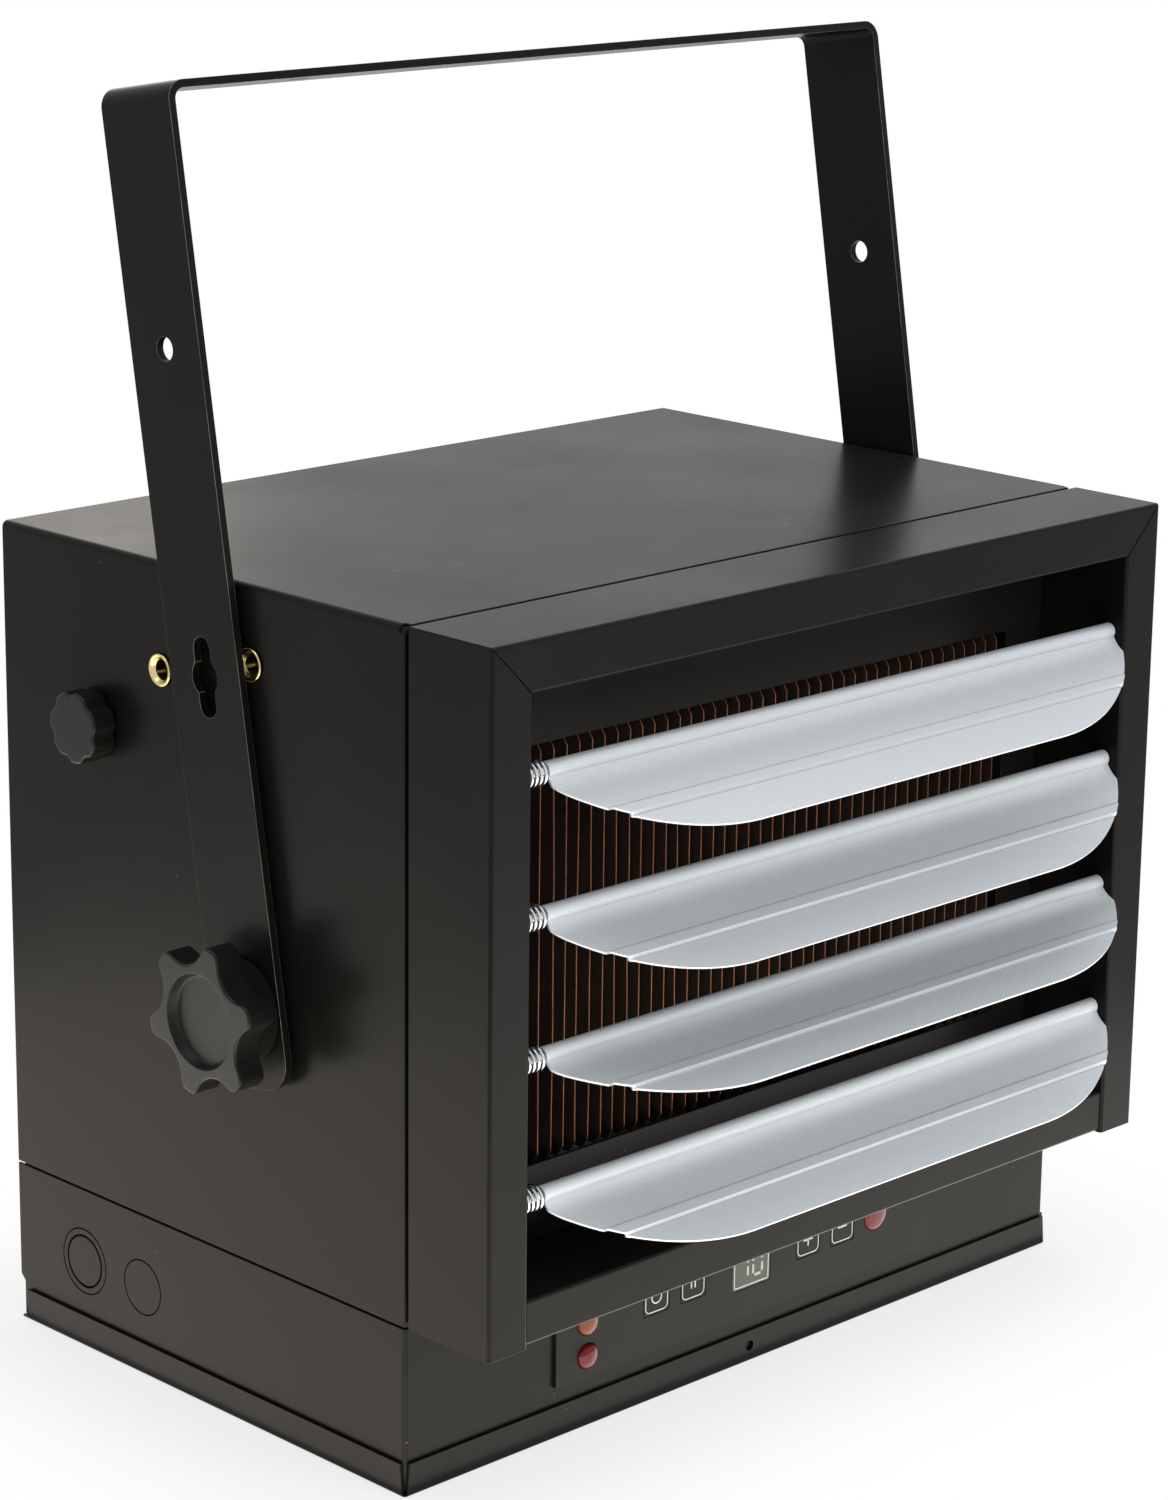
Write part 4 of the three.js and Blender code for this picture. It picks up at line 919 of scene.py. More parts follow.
class LouvreSizes(PropertyGroup):
    depth: metres("Depth", "Pin to front edge", 0.0428)
    sheet: metres("Sheet", "Thickness of a blade", 0.0008)
    barrel: metres("Barrel radius", "Outside of the rolled edge", 0.0032)
    bead_at: metres("Bead place", "Pin to the middle of the bead", 0.0242)
    bead_half: metres("Bead half width", "Half of its flat top", 0.0018)
    bead_rear: metres("Bead rear side", "Width of its gentle rear side", 0.0013)
    bead_front: metres("Bead front side", "Width of its steep front side", 0.0007)
    bead_height: metres("Bead height", "Height above the blade", 0.0011)
    crease: metres("Crease", "Width of the crease in front of the bead", 0.0009)
    crease_depth: metres("Crease depth", "Its depth", 0.00035)
    fillet: metres("Fillet", "From the roll to the flat web", 0.0095)
    fall: metres("Fall", "How far it drops over that", 0.0021)
    ledge: metres("Ledge", "Crease in front of the roll", 0.0005)
    end: metres("End radius", "Radius of the arc at each end", 0.093)
    trim_left: metres("Left trim", "How much shorter the front edge is at the left", 0.074)
    trim_right: metres("Right trim", "How much shorter it is at the right", 0.0707)
    wire: metres("Spring wire", "Diameter of the spring's wire", 0.0013)
    turns: IntProperty(name="Spring turns", description="Turns of each spring", default=4)
    pin: metres("Pin radius", "Radius of the rod in the roll", 0.002)


ROLL = (-95, 198)  # degrees round the pin over which a blade's rear edge is rolled
BLADE_EDGE = 0.00018  # rounding of its cut edges


def blade_shape(sizes, left, right):
    """A blade on its pin's axis, lying along -Y: the middle surface of its sheet.

    The section starts below the pin and runs round the roll, over its back, top and front. A ledge and a
    cubic fall take it down to the web. The bead is a flat crest with cosine sides, and a shallow crease
    lies in front of it. At a distance p from the pin, an end lies trim - sqrt(end^2 - (p - depth + end)^2)
    inwards, so it meets the front edge squarely.
    """
    mid = sizes.barrel - sizes.sheet / 2
    turn = np.radians(np.linspace(*ROLL, 44))
    roll = mid * np.column_stack([np.cos(turn), np.sin(turn)])
    start = sizes.ledge - roll[-1, 0]
    web = sizes.barrel + sizes.fillet
    crest = np.array([sizes.bead_at - sizes.bead_half, sizes.bead_at + sizes.bead_half])
    foot = crest + (-sizes.bead_rear, sizes.bead_front)
    sweep = np.linspace(math.asin(sizes.trim_left / sizes.end), 0, 44)
    arc_lines = sizes.depth - sizes.end * (1 - np.cos(sweep))
    along = np.unique(np.concatenate([
        np.linspace(start, web, 12), np.linspace(web, foot[0], 5), np.linspace(foot[0], crest[0], 8), crest,
        np.linspace(crest[1], foot[1], 7), np.linspace(foot[1], foot[1] + sizes.crease, 5), arc_lines,
    ]).round(7))
    rise = np.interp(along, [foot[0], crest[0], crest[1], foot[1]], [0, 1, 1, 0])
    level = -mid + sizes.bead_height * (0.5 - 0.5 * np.cos(np.pi * rise))
    level -= sizes.crease_depth * np.interp(along, [crest[1], foot[1], foot[1] + sizes.crease], [0, 1, 0])
    level += sizes.fall * np.clip((web - along) / (web - start), 0, 1) ** 3
    section = np.vstack([roll, np.column_stack([-along, level])])
    into = np.maximum(-section[:, 0] - sizes.depth + sizes.end, 0)
    inwards = np.sqrt(np.maximum(sizes.end ** 2 - into ** 2, 0))
    low = np.maximum(left, left + sizes.trim_left - inwards)[:, None]
    high = np.minimum(right, right - sizes.trim_right + inwards)[:, None]
    x = low + (high - low) * np.linspace(0, 1, 49)[None, :]
    points = np.stack([x, *(np.broadcast_to(section[:, k, None], x.shape) for k in range(2))], axis=-1)
    return Shape(points.reshape(-1, 3), [grid_faces(*x.shape)])


def spring_shape(sizes, left, right):
    """A compression spring about the pin: a leg, turns at a steady rise, and a leg.

    A point of a turn lies at the mean radius times (cos t, sin t).
    """
    radius = half_span("louvre_spring_1", "z") - sizes.wire / 2
    t = np.linspace(0, 2 * np.pi * sizes.turns, 36 * sizes.turns + 1)
    x = np.linspace(left + sizes.wire, right - sizes.wire, len(t))
    x = np.concatenate([[left], x, [right]])
    t = np.concatenate([[t[0]], t, [t[-1]]])
    around = np.column_stack([np.zeros_like(t), np.cos(t), np.sin(t)])
    path = around * radius + np.column_stack([x, np.zeros_like(x), np.zeros_like(x)])
    return tube(path, sizes.wire / 2, around, 10)


class HEATER_OT_louvres(Operator):
    """Four rolled and beaded blades on their pins, each with the spring at its left end"""

    bl_idname = "heater.louvres"
    bl_label = "Louvres"

    def execute(self, context):
        sizes = context.scene.heater_louvres
        for k in LOUVRES:
            tilt = joint(f"louvre_{k}_tilt")
            angle = -math.radians(tilt["range_deg"][0])
            _, y0, z0 = tilt["pos_m"]
            cosine, sine = math.cos(angle), math.sin(angle)
            blade = blade_shape(sizes, *span(f"louvre_blade_{k}", "x")).moved(
                lambda x, y, z: (x, y0 + y * cosine - z * sine, z0 + y * sine + z * cosine)
            )
            piece(f"blade_{k}", blade, "Silver grey enamel", f"louvre_{k}", f"louvre_blade_{k}",
                  thickness=sizes.sheet, offset=0.0, edge=BLADE_EDGE)
            spring = spring_shape(sizes, *span(f"louvre_spring_{k}", "x"))
            spring = spring.moved(lambda x, y, z: (x, y0 + y, z0 + z))
            piece(f"spring_{k}", spring, "Bright zinc plate", replaces=f"louvre_spring_{k}", edge=0)
            left, right = span(f"louvre_pin_{k}", "x")
            radius, tip = sizes.pin, sizes.pin / 4
            profile = [(0, left), (radius - tip, left), (radius, left + tip), (radius, right - tip),
                       (radius - tip, right), (0, right)]
            pin = turned(profile, (0, y0, z0), "x", 24).outward()
            piece(f"pin_{k}", pin, "Bright zinc plate", replaces=f"louvre_pin_{k}", edge=0)
        return {"FINISHED"}


# ---------------------------------------------------------------- heating element


class ElementSizes(PropertyGroup):
    fins: IntProperty(name="Fins", description="Number of plate fins", default=44)
    fin: metres("Fin", "Thickness of a fin", 0.0006)
    depth: metres("Fin depth", "Front to back", 0.035)
    chamfer: metres("Chamfer", "Depth of a fin's cut corner", 0.003)
    pitch: metres("Rod pitch", "Between the two legs of the rod", 0.036)
    rod: metres("Rod radius", "Radius of the sheathed rod", 0.004)


def fin_stack(sizes, low, high):
    """Thin plates side by side, each a little bent, with a mark of its own for each front edge.

    At a height t from -1 to 1 a fin stands at its place, plus a lean times t, a bow times 1 - t^2 and
    a ripple.
    """
    spread = 0.1385  # from the middle to the last fin
    corner_slope = 1.4  # a cut corner's height over its depth
    places = np.linspace(-spread, spread, sizes.fins)
    up = sizes.chamfer * corner_slope
    levels = np.concatenate([
        [low.z, low.z + up], np.linspace(low.z + up, high.z - up, 13)[1:-1], [high.z - up, high.z],
    ])
    front = low.y + sizes.chamfer * np.clip(1 - np.minimum(levels - low.z, high.z - levels) / up, 0, 1)
    random = np.random.default_rng(7)
    bends = (0.00022, 0.0003, 0.00012)  # usual lean, bow and ripple of a fin
    lean, bow, ripple = (random.normal(0, size, sizes.fins)[:, None] for size in bends)
    t = np.linspace(-1, 1, len(levels))[None, :]
    waves, drift = 9, 900  # a ripple's waves, and how they shift from fin to fin
    ripples = ripple * np.sin(waves * t + drift * places[:, None])
    x = places[:, None] + lean * t + bow * (1 - t ** 2) + ripples
    half = sizes.fin / 2
    rings = np.zeros((sizes.fins, len(levels), 4, 3))
    rings[..., 0] = x[:, :, None] + np.array([-half, half, half, -half])
    rings[..., 1] = low.y + sizes.depth
    rings[..., :2, 1] = front[None, :, None]
    rings[..., 2] = levels[None, :, None]
    count = len(levels) * 4
    faces = grid_faces(len(levels), 4, wrap=True).reshape(-1, 4, 4)
    starts = (np.arange(sizes.fins) * count)[:, None, None]
    side = (faces[:, 1:].reshape(-1, 4)[None] + starts).reshape(-1, 4)
    edge = (faces[:, 0][None] + starts).reshape(-1, 4)
    bottom = np.array([[3, 2, 1, 0]])[None] + starts
    top = np.array([[0, 1, 2, 3]])[None] + starts + count - 4
    caps = np.concatenate([bottom, top]).reshape(-1, 4)
    return Shape(rings.reshape(-1, 3), [side, edge, caps], marks=[0, 1, 0])


def hairpin_rod(sizes, low, high):
    """The sheathed rod: two straight legs joined by a half circle."""
    rod_y = low.y + sizes.depth / 2
    mid = (low.z + high.z) / 2
    bend = np.linspace(-np.pi / 2, np.pi / 2, 17)
    reach = sizes.pitch / 2
    turn = high.x - reach - sizes.rod
    hairpin = np.column_stack([turn + reach * np.cos(bend), reach * np.sin(bend)])
    course = np.concatenate([[(low.x, -reach)], hairpin, [(low.x, reach)]])
    path = np.column_stack([course[:, 0], np.full(len(course), rod_y), mid + course[:, 1]])
    return tube(path, sizes.rod, (0, 1, 0), 20)


class HEATER_OT_element(Operator):
    """The fins on their hairpin rod, each fin a little bent, with a painted highlight on their cut front
    edges
    """

    bl_idname = "heater.element"
    bl_label = "Heating element"

    def execute(self, context):
        sizes = context.scene.heater_element
        low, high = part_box("finned_element")
        fins = fin_stack(sizes, low, high)
        rod = hairpin_rod(sizes, low, high)
        both = joined(fins, Shape(rod.points, rod.groups, marks=[2] * len(rod.groups)))
        # The fins' front edges get a pale finish, a painted highlight.
        finishes = ["Oxidised fin plate", "Cut fin edge", "Rolled steel"]
        piece("element", both, finishes, replaces="finned_element", edge=0)
        return {"FINISHED"}


# ---------------------------------------------------------------- base, pan


class BaseSizes(PropertyGroup):
    fold: metres("Fold radius", "Outer radius of the folds", 0.0018)
    large: metres("Large knockout", "Outer ring's radius", 0.0136)
    inner: metres("Inner knockout", "Inner ring's radius", 0.0109)
    small: metres("Small knockout", "Its radius", 0.0113)
    lip: metres("Pan lip", "Height of the pan's lips", 0.013)
    screw: metres("Pan screw hole", "Its radius", 0.0021)


def wiring_box(sizes):
    """The box folded from one strip, its rear wall, and the discs that still close the knockouts."""
    low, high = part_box("base_box")
    rear_inset = 0.0025  # from the side walls' rear ends to the rear wall
    knock_inset, knock_step, knock_z = 0.0417, 0.0361, 0.0354  # knockouts: from the back, apart, and up
    slit = 0.0004  # width of the cut round a knockout
    notch_low, notch_high = 0.0155, 0.018  # the side walls' rear ends step in above the pan's lip
    above, beside = 0.0535, 0.016  # lines of the sheet over the knockouts and beside them
    rear = high.y - rear_inset
    knock_y = BACK - knock_inset
    small_y = knock_y - knock_step
    path = rounded_path([(SIDE, high.y), (SIDE, low.y), (-SIDE, low.y), (-SIDE, high.y)], sizes.fold)
    length = path[0][-1]

    def along(y):
        return length - (high.y - y)

    def arrange(x, y, z):
        return x, np.minimum(y, np.interp(z, [notch_low, notch_high], [rear, high.y])), z

    holes = [(along(knock_y), knock_z, sizes.large), (along(small_y), knock_z, sizes.small)]
    lines = [along(y) + step for y in (knock_y, small_y) for step in (-beside, beside)]
    heights = [low.z, notch_low, notch_high, above, high.z]
    wall = folded(path, heights, arrange, lines=lines, holes=holes)
    wall = wall.away_from((0, 0, (low.z + high.z) / 2))
    discs = []
    for y, outer, hole in [
        (knock_y, sizes.large - slit, sizes.inner), (knock_y, sizes.inner - 2 * slit, 0),
        (small_y, sizes.small - slit, 0),
    ]:
        inner = [circle(y, knock_z, hole)] if hole else []
        disc = plate(circle(y, knock_z, outer), inner, lambda u, v: (-SIDE, u, v))
        discs.append(disc.away_from((0, y, knock_z)))
    back_outline = rectangle(low.x + SHEET, high.x - SHEET, low.z, high.z)
    back_wall = plate(back_outline, [], lambda u, v: (u, rear, v)).away_from((0, 0, 0))
    piece("wiring_box", joined(wall, *discs, back_wall), COAT, replaces="base_box", thickness=SHEET)
    # Painted shade: a near black plate just inside the left wall, behind the knockouts, so that the slits
    # round their discs show black.
    shade_half, shade_up, shade_corner = 0.036, 0.016, 0.002
    shade = rounded_box((knock_y + small_y) / 2, knock_z, shade_half, shade_up, shade_corner)
    shade = plate(shade, [], lambda u, v: (-SIDE + 2 * SHEET, u, v)).away_from((0, 0, knock_z))
    piece("knockout_shade", shade, "Dark opening", thickness=SHEET / 2)


def bottom_pan(sizes):
    """The pan: a tray with side lips, a front lip with the screw hole, and a rear lip between the walls."""
    low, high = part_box("bottom_pan")
    fold = 0.0015
    notch = 0.0012  # how much the lips slope back at their ends
    lip_end = 0.006  # from the cabinet's back to the side lips' ends
    screw_z, above, beside = 0.0068, 0.0035, 0.005  # the screw's height, and the lines round its hole
    side_back = BACK - lip_end
    path = rounded_path([(low.x, sizes.lip), (low.x, 0), (high.x, 0), (high.x, sizes.lip)], fold)

    def side_ends(x, z):
        return low.y + fold + notch * z / sizes.lip, np.where(z > fold, side_back, high.y - fold)

    tray = folded(path, [low.y + fold, 0, high.y - fold], lambda x, z, y: (x, y, z), ends=side_ends)
    above_floor = (0, 0, 0.01)
    path = rounded_path([(low.y + fold, 0), (low.y, 0), (low.y, sizes.lip)], fold)

    def front_ends(y, z):
        reach = high.x - fold - notch * z / sizes.lip
        return -reach, reach

    hole_s = math.pi / 2 * fold + screw_z - fold
    front = folded(
        path, [low.x, -beside, beside, high.x], lambda y, z, x: (x, y, z), ends=front_ends,
        lines=[hole_s - above, hole_s + above], holes=[(hole_s, 0.0, sizes.screw)],
    )
    path = rounded_path([(high.y - fold, 0), (high.y, 0), (high.y, sizes.lip)], fold)
    inner = SIDE - SHEET - GAP
    behind = folded(path, [-inner, inner], lambda y, z, x: (x, y, z))
    pan = joined(*(side.away_from(above_floor) for side in (tray, front, behind)))
    piece("pan", pan, COAT, replaces="bottom_pan", thickness=SHEET)


class HEATER_OT_base(Operator):
    """The wiring box with its knockouts, and the pan that closes it"""

    bl_idname = "heater.base"
    bl_label = "Base and pan"

    def execute(self, context):
        sizes = context.scene.heater_base
        wiring_box(sizes)
        bottom_pan(sizes)
        dress("airway_floor", "Rolled steel")
        return {"FINISHED"}


# ---------------------------------------------------------------- control panel


class ControlSizes(PropertyGroup):
    outline: metres("Key outline", "Width of a key's printed line", 0.0004)
    line: metres("Symbol line", "Width of a symbol's printed line", 0.0006)
    ink: metres("Ink", "Thickness of the printed ink", 0.00004)
    corner: metres("Key corner", "Radius of a key's corners", 0.0022)


def printed(name, strokes, finish, body, y, thickness):
    """Ink that stands just proud of a film or window."""
    flat = joined(*strokes).moved(lambda x, _, z: (x, y, z)).away_from((0, BACK, 0))
    piece(name, flat, finish, body, thickness=thickness, offset=1.0, edge=0)


def arc(x, z, radius, start, end, steps=24):
    """Points along an arc, its angles in degrees from +X towards +Z."""
    angle = np.radians(np.linspace(start, end, steps))
    return np.column_stack([x + radius * np.cos(angle), z + radius * np.sin(angle)])


def line(x0, z0, x1, z1):
    """Two points."""
    return np.array([(x0, z0), (x1, z1)])


SEGMENTS = {"0": "abcdef", "7": "abc"}
SEGMENT_GAP = 0.7  # how much shorter a bar is at each end, as a share of its width


def digit(character, x, z, width, height, bar):
    """The lit bars of one seven segment digit, each a short stroke between the corners of an 8."""
    half, tall = width / 2, height / 2
    short = bar * SEGMENT_GAP
    bars = {
        "a": (x - half + short, z + tall, x + half - short, z + tall),
        "b": (x + half, z + short, x + half, z + tall - short),
        "c": (x + half, z - tall + short, x + half, z - short),
        "d": (x - half + short, z - tall, x + half - short, z - tall),
        "e": (x - half, z - tall + short, x - half, z - short),
        "f": (x - half, z + short, x - half, z + tall - short),
    }
    return [stroke(line(*bars[key]), bar) for key in SEGMENTS[character]]


FILM_FRONT, FILM_BACK = span("control_overlay", "y")
KEYS = {name: middle(name).x for name in ("key_power", "key_mode", "key_plus", "key_minus")}
KEY_HALF = half_span("key_power", "x")
ROW = middle("key_power").z
DISPLAY_HALF = half_span("display_lens", "x")
LENSES = {"power_lamp": "Red lens", "heat_lamp": "Amber lens", "remote_receiver": "Red lens"}
FILM_EDGE = 0.0001


def facing(outline, holes=()):
    """A plate in the film's front plane."""
    return plate(outline, list(holes), lambda u, v: (u, FILM_FRONT, v)).away_from((0, BACK, 0))


def overlay():
    """The film, with openings for the keys, the display and the lamps."""
    low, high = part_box("control_overlay")
    hole_corner, film_corner = 0.0009, 0.001
    squares = [(x, KEY_HALF + GAP) for x in KEYS.values()] + [(0, DISPLAY_HALF + GAP)]
    holes = [rounded_box(x, ROW, half, half, hole_corner) for x, half in squares]
    for name in LENSES:
        place = middle(name)
        holes.append(circle(place.x, place.z, half_span(name, "x") + GAP))
    outline = rounded_box(
        (low.x + high.x) / 2, (low.z + high.z) / 2, (high.x - low.x) / 2, (high.z - low.z) / 2, film_corner,
    )
    piece("overlay", facing(outline, holes), "Matte film", replaces="control_overlay",
          thickness=FILM_BACK - FILM_FRONT, edge=FILM_EDGE)


def key_caps():
    """The film over each key, which moves with it."""
    corner, thickness = 0.0007, 0.0006
    for name, x in KEYS.items():
        cap = facing(rounded_box(x, ROW, KEY_HALF, KEY_HALF, corner))
        piece(f"{name}_cap", cap, "Matte film", name, name, thickness=thickness, edge=FILM_EDGE)


def key_prints(sizes):
    """A printed ring and a symbol on each key."""
    border = KEY_HALF - 0.0009
    symbol = 0.0026  # half a symbol's width
    opening = (125, 415)  # degrees over which the power symbol's ring runs
    stem_low, stem_high = 0.0008, 0.0032  # the bar through its gap
    apart, tall = 0.001, 0.0022  # the mode symbol's two bars, from their middle
    flat = line(-symbol, 0, symbol, 0)
    symbols = {
        "key_power": [arc(0, 0, symbol, *opening), line(0, stem_low, 0, stem_high)],
        "key_mode": [line(side, -tall, side, tall) for side in (-apart, apart)],
        "key_plus": [flat, line(0, -symbol, 0, symbol)],
        "key_minus": [flat],
    }
    for name, x in KEYS.items():
        ring = stroke(rounded_box(x, ROW, border, border, sizes.corner), sizes.outline, closed=True)
        strokes = [stroke(path + (x, ROW), sizes.line) for path in symbols[name]]
        printed(f"{name}_print", [ring, *strokes], "Grey printing ink", name, FILM_FRONT, sizes.ink)


def display(sizes):
    """The tinted window with its printed border and the lit digits."""
    window_corner, window_edge = 0.0008, 0.0002
    border, border_corner = DISPLAY_HALF - 0.001, 0.001
    width, height, bar, drop = 0.005, 0.0105, 0.0011, 0.001
    places = (("7", -0.0045), ("0", 0.0035))
    window = facing(rounded_box(0, ROW, DISPLAY_HALF, DISPLAY_HALF, window_corner))
    piece("display_window", window, "Tinted window", replaces="display_lens", thickness=SHEET,
          edge=window_edge)
    ring = stroke(rounded_box(0, ROW, border, border, border_corner), sizes.outline, closed=True)
    printed("display_border", [ring], "Grey printing ink", "heater", FILM_FRONT, sizes.ink)
    digits = [lit for character, x in places for lit in digit(character, x, ROW - drop, width, height, bar)]
    printed("display_digits", digits, "Display segments", "heater", FILM_FRONT, sizes.ink)


def lenses():
    """The two pilot lamps and the receiver: a domed lens with a rim, spun about Y."""
    bulge = np.linspace(0, np.pi / 2, 10)
    wall, lens_edge = 0.001, 0.00015
    for name, finish in LENSES.items():
        radius = half_span(name, "x")
        front, end = span(name, "y")
        place = middle(name)
        cap = np.column_stack([radius * np.sin(bulge), FILM_FRONT - (FILM_FRONT - front) * np.cos(bulge)])
        profile = np.vstack([
            cap, [(radius, FILM_BACK), (radius - wall, FILM_BACK), (radius - wall, end), (0, end)],
        ])
        part = turned(profile, (place.x, 0, place.z), "y", 48).outward()
        piece(f"{name}_lens", part, finish, replaces=name, edge=lens_edge)


class HEATER_OT_controls(Operator):
    """The film overlay with its printed keys, the display window, the two lamps and the receiver"""

    bl_idname = "heater.controls"
    bl_label = "Control panel"

    def execute(self, context):
        sizes = context.scene.heater_controls
        overlay()
        key_caps()
        key_prints(sizes)
        display(sizes)
        lenses()
        dress("control_board", "Solder resist")
        dress("power_relay", "Moulded housing")
        dress("terminal_block", "Moulded housing")
        return {"FINISHED"}


# ---------------------------------------------------------------- strap and knobs


class StrapSizes(PropertyGroup):
    width: metres("Width", "Width of the strip", 0.039)
    thickness: metres("Thickness", "Thickness of the strip", 0.003)
    reach: metres("Reach", "Pivot to the top", 0.3345)
    tail: metres("Tail", "Strip beyond the pivot", 0.03)
    corner: metres("Tail corner", "Radius of the tail's corners", 0.012)
    fold: metres("Fold radius", "Outer radius of the folds", 0.007)
    lean: degrees("Lean", "How far back the strap leans", 9.8)
    hole: metres("Hole radius", "Radius of the plain holes", 0.0045)
    hole_at: metres("Leg hole", "Pivot to the hole in each leg", 0.241)
    slot_at: metres("Slot", "Pivot to the middle of the slot", 0.1224)
    slot_half: metres("Slot half length", "Half its length", 0.015)
    slot_width: metres("Slot half width", "Half its width", 0.0046)
    slot_mouth: metres("Slot mouth", "Radius of its middle", 0.0072)
    ceiling_at: metres("Ceiling hole", "Middle to a ceiling hole", 0.11)


def insert_profile(flange, face, end, scale):
    """The outline of a threaded insert as radius and x: a rounded flange, a body, and a threaded bore.

    The thread is a zigzag: every half pitch the bore's radius is a half depth less, then a half depth more.
    """
    body, bore = 0.0047 * scale, 0.004 * scale
    rim, rounding = 0.001, 0.0005
    pitch, depth = 0.0008, 0.0004
    thread_start, thread_end = 0.0019, 0.0004
    dish, dish_depth = 0.0011 * scale, 0.0001
    soft = np.linspace(0, np.pi / 2, 6)
    x = np.arange(face + thread_start, end - thread_end, pitch / 2)
    cut = np.where(np.arange(len(x)) % 2 == 0, 0, depth)
    threads = np.column_stack([bore + cut - depth / 2, x])[::-1]
    rounded = np.column_stack([
        flange - rounding + rounding * np.sin(soft), face + rounding - rounding * np.cos(soft),
    ])
    mouth = [(bore, face + 0.0016), (bore + 0.0005, face + 0.0011), (bore + 0.0008, face + 0.0005)]
    return np.vstack([
        [(flange - dish, face + dish_depth)], rounded,
        [(flange, face + rim), (body, face + rim), (body, end), (bore, end)], threads, mouth,
    ])


def strap(sizes):
    """The strip, folded to a U, with its holes and lock slots, leaning back about the pivots."""
    outer = half_span("bracket_strap", "x")
    path = rounded_path([
        (-outer, -sizes.tail), (-outer, sizes.reach), (outer, sizes.reach), (outer, -sizes.tail),
    ], sizes.fold, 10)
    length = path[0][-1]
    half = sizes.width / 2
    straight = sizes.slot_half - sizes.slot_width

    def slot(angle):
        """The farthest of a circle and a rounded slot from their common middle."""
        across, ahead = np.abs(np.sin(angle)), np.abs(np.cos(angle))
        flank = sizes.slot_width / np.maximum(across, 1e-9)
        inside = np.maximum(sizes.slot_width ** 2 - (straight * across) ** 2, 0)
        end = straight * ahead + np.sqrt(inside)
        return np.maximum(np.where(flank * ahead <= straight, flank, end), sizes.slot_mouth)

    places = [
        (sizes.tail, sizes.hole), (sizes.tail + sizes.hole_at, sizes.hole),
        (sizes.tail + sizes.slot_at, slot),
    ]
    holes = [(s, 0.0, radius) for place, radius in places for s in (place, length - place)]
    middle_s = length / 2
    holes += [(middle_s + step, 0.0, sizes.hole) for step in (-sizes.ceiling_at, sizes.ceiling_at)]
    # How far the sheet's lines run from its holes and edges, which doesn't change its shape.
    slot_room, hole_room, hole_side, edge_side = 0.019, 0.007, 0.0095, 0.002
    lines = []
    for s, _, radius in holes:
        room = slot_room if callable(radius) else hole_room
        lines += [s - room, s + room]
    rounding = sizes.corner * (1 - np.cos(np.linspace(0, np.pi / 2, 10)))
    lines += [*rounding, *(length - rounding)]
    widths = [-half, -half + edge_side, -hole_side, hole_side, half - edge_side, half]
    strip = folded(path, widths, lambda u, v, w: (u, w, v), lines=lines, holes=holes)
    into = sizes.corner - np.minimum(strip.flat[:, 0], length - strip.flat[:, 0])
    into = np.clip(into, 0, sizes.corner)
    narrowed = (half - sizes.corner + np.sqrt(sizes.corner ** 2 - into ** 2)) / half
    strip.points[:, 1] *= narrowed
    cosine, sine = math.cos(sizes.lean), math.sin(sizes.lean)
    strip = strip.moved(lambda x, y, z: (
        x, PIVOT.y + y * cosine + z * sine, PIVOT.z - y * sine + z * cosine,
    )).away_from((0, PIVOT.y, PIVOT.z))
    worn = 0.00045  # width of the rubbed edges
    piece("strap", strip, ["Strap powder coat", "Rubbed coat edge"], "bracket", "bracket_strap",
          thickness=sizes.thickness, edge=worn, segments=3, edge_mark=1)


def spacer_shape():
    """The left rubber ring between the cabinet and the strap, its corners cut."""
    bore, chamfer = 0.0084, 0.0006
    low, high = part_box("strap_spacer_left")
    radius = (high.z - low.z) / 2
    ring = [
        (bore, low.x), (radius - chamfer, low.x), (radius, low.x + chamfer), (radius, high.x - chamfer),
        (radius - chamfer, high.x), (bore, high.x),
    ]
    return turned(ring, (0, PIVOT.y, PIVOT.z), "x", 64, closed=True).outward()


class HEATER_OT_strap(Operator):
    """The U shaped strap with its holes and lock slots, the spacers and the threaded inserts"""

    bl_idname = "heater.strap"
    bl_label = "Hanging strap"

    def execute(self, context):
        sizes = context.scene.heater_strap
        strap(sizes)
        spacer = spacer_shape()
        spacer_edge = 0.0002
        for hand, sign in HANDS.items():
            side = (lambda shape: shape) if sign < 0 else mirrored
            piece(f"spacer_{hand}", side(spacer), "Dark rubber", replaces=f"strap_spacer_{hand}",
                  edge=spacer_edge)
            for name, scale in [("first", 1.0), ("second", 1.0), ("third", 1.0), ("pivot", 1.3)]:
                node = f"rivet_nut_{name}_left"
                centre = middle(node)
                ring = insert_profile(half_span(node, "z"), *span(node, "x"), scale)
                insert = turned(ring, (0, centre.y, centre.z), "x", 48, closed=True).outward()
                piece(f"insert_{name}_{hand}", side(insert), "Yellow zinc plate",
                      replaces=f"rivet_nut_{name}_{hand}", edge=0)
            dress(f"clamp_stud_{hand}", "Bright zinc plate")
        return {"FINISHED"}


class KnobSizes(PropertyGroup):
    tip: metres("Lobe tip", "Radius to the lobes", 0.0293)
    valley: metres("Valley", "Radius to the bites", 0.0212)
    lobe: metres("Lobe width", "Width of a lobe's end", 0.008)
    phase: degrees("Phase", "Angle of the first lobe", -16.5)
    rounding: metres("Edge", "Rounding of the front edge", 0.001)
    boss: metres("Boss radius", "Round boss behind the lobes", 0.0195)
    boss_depth: metres("Boss depth", "Strap to lobes", 0.0105)
    recess: metres("Recess radius", "Rim of the round recess", 0.0178)
    recess_floor: metres("Recess floor", "Radius of its floor", 0.0165)
    recess_depth: metres("Recess depth", "Its depth", 0.0035)
    lock_tip: metres("Lock tip", "Radius to the small knob's lobes", 0.0138)
    lock_valley: metres("Lock valley", "Radius between them", 0.0124)
    lock_lobe: metres("Lock lobe width", "Width of a lobe's end", 0.0065)
    lock_phase: degrees("Lock phase", "Angle of the first lobe", 5.7)
    shank: metres("Lock shank", "Radius of its threaded shank", 0.003)


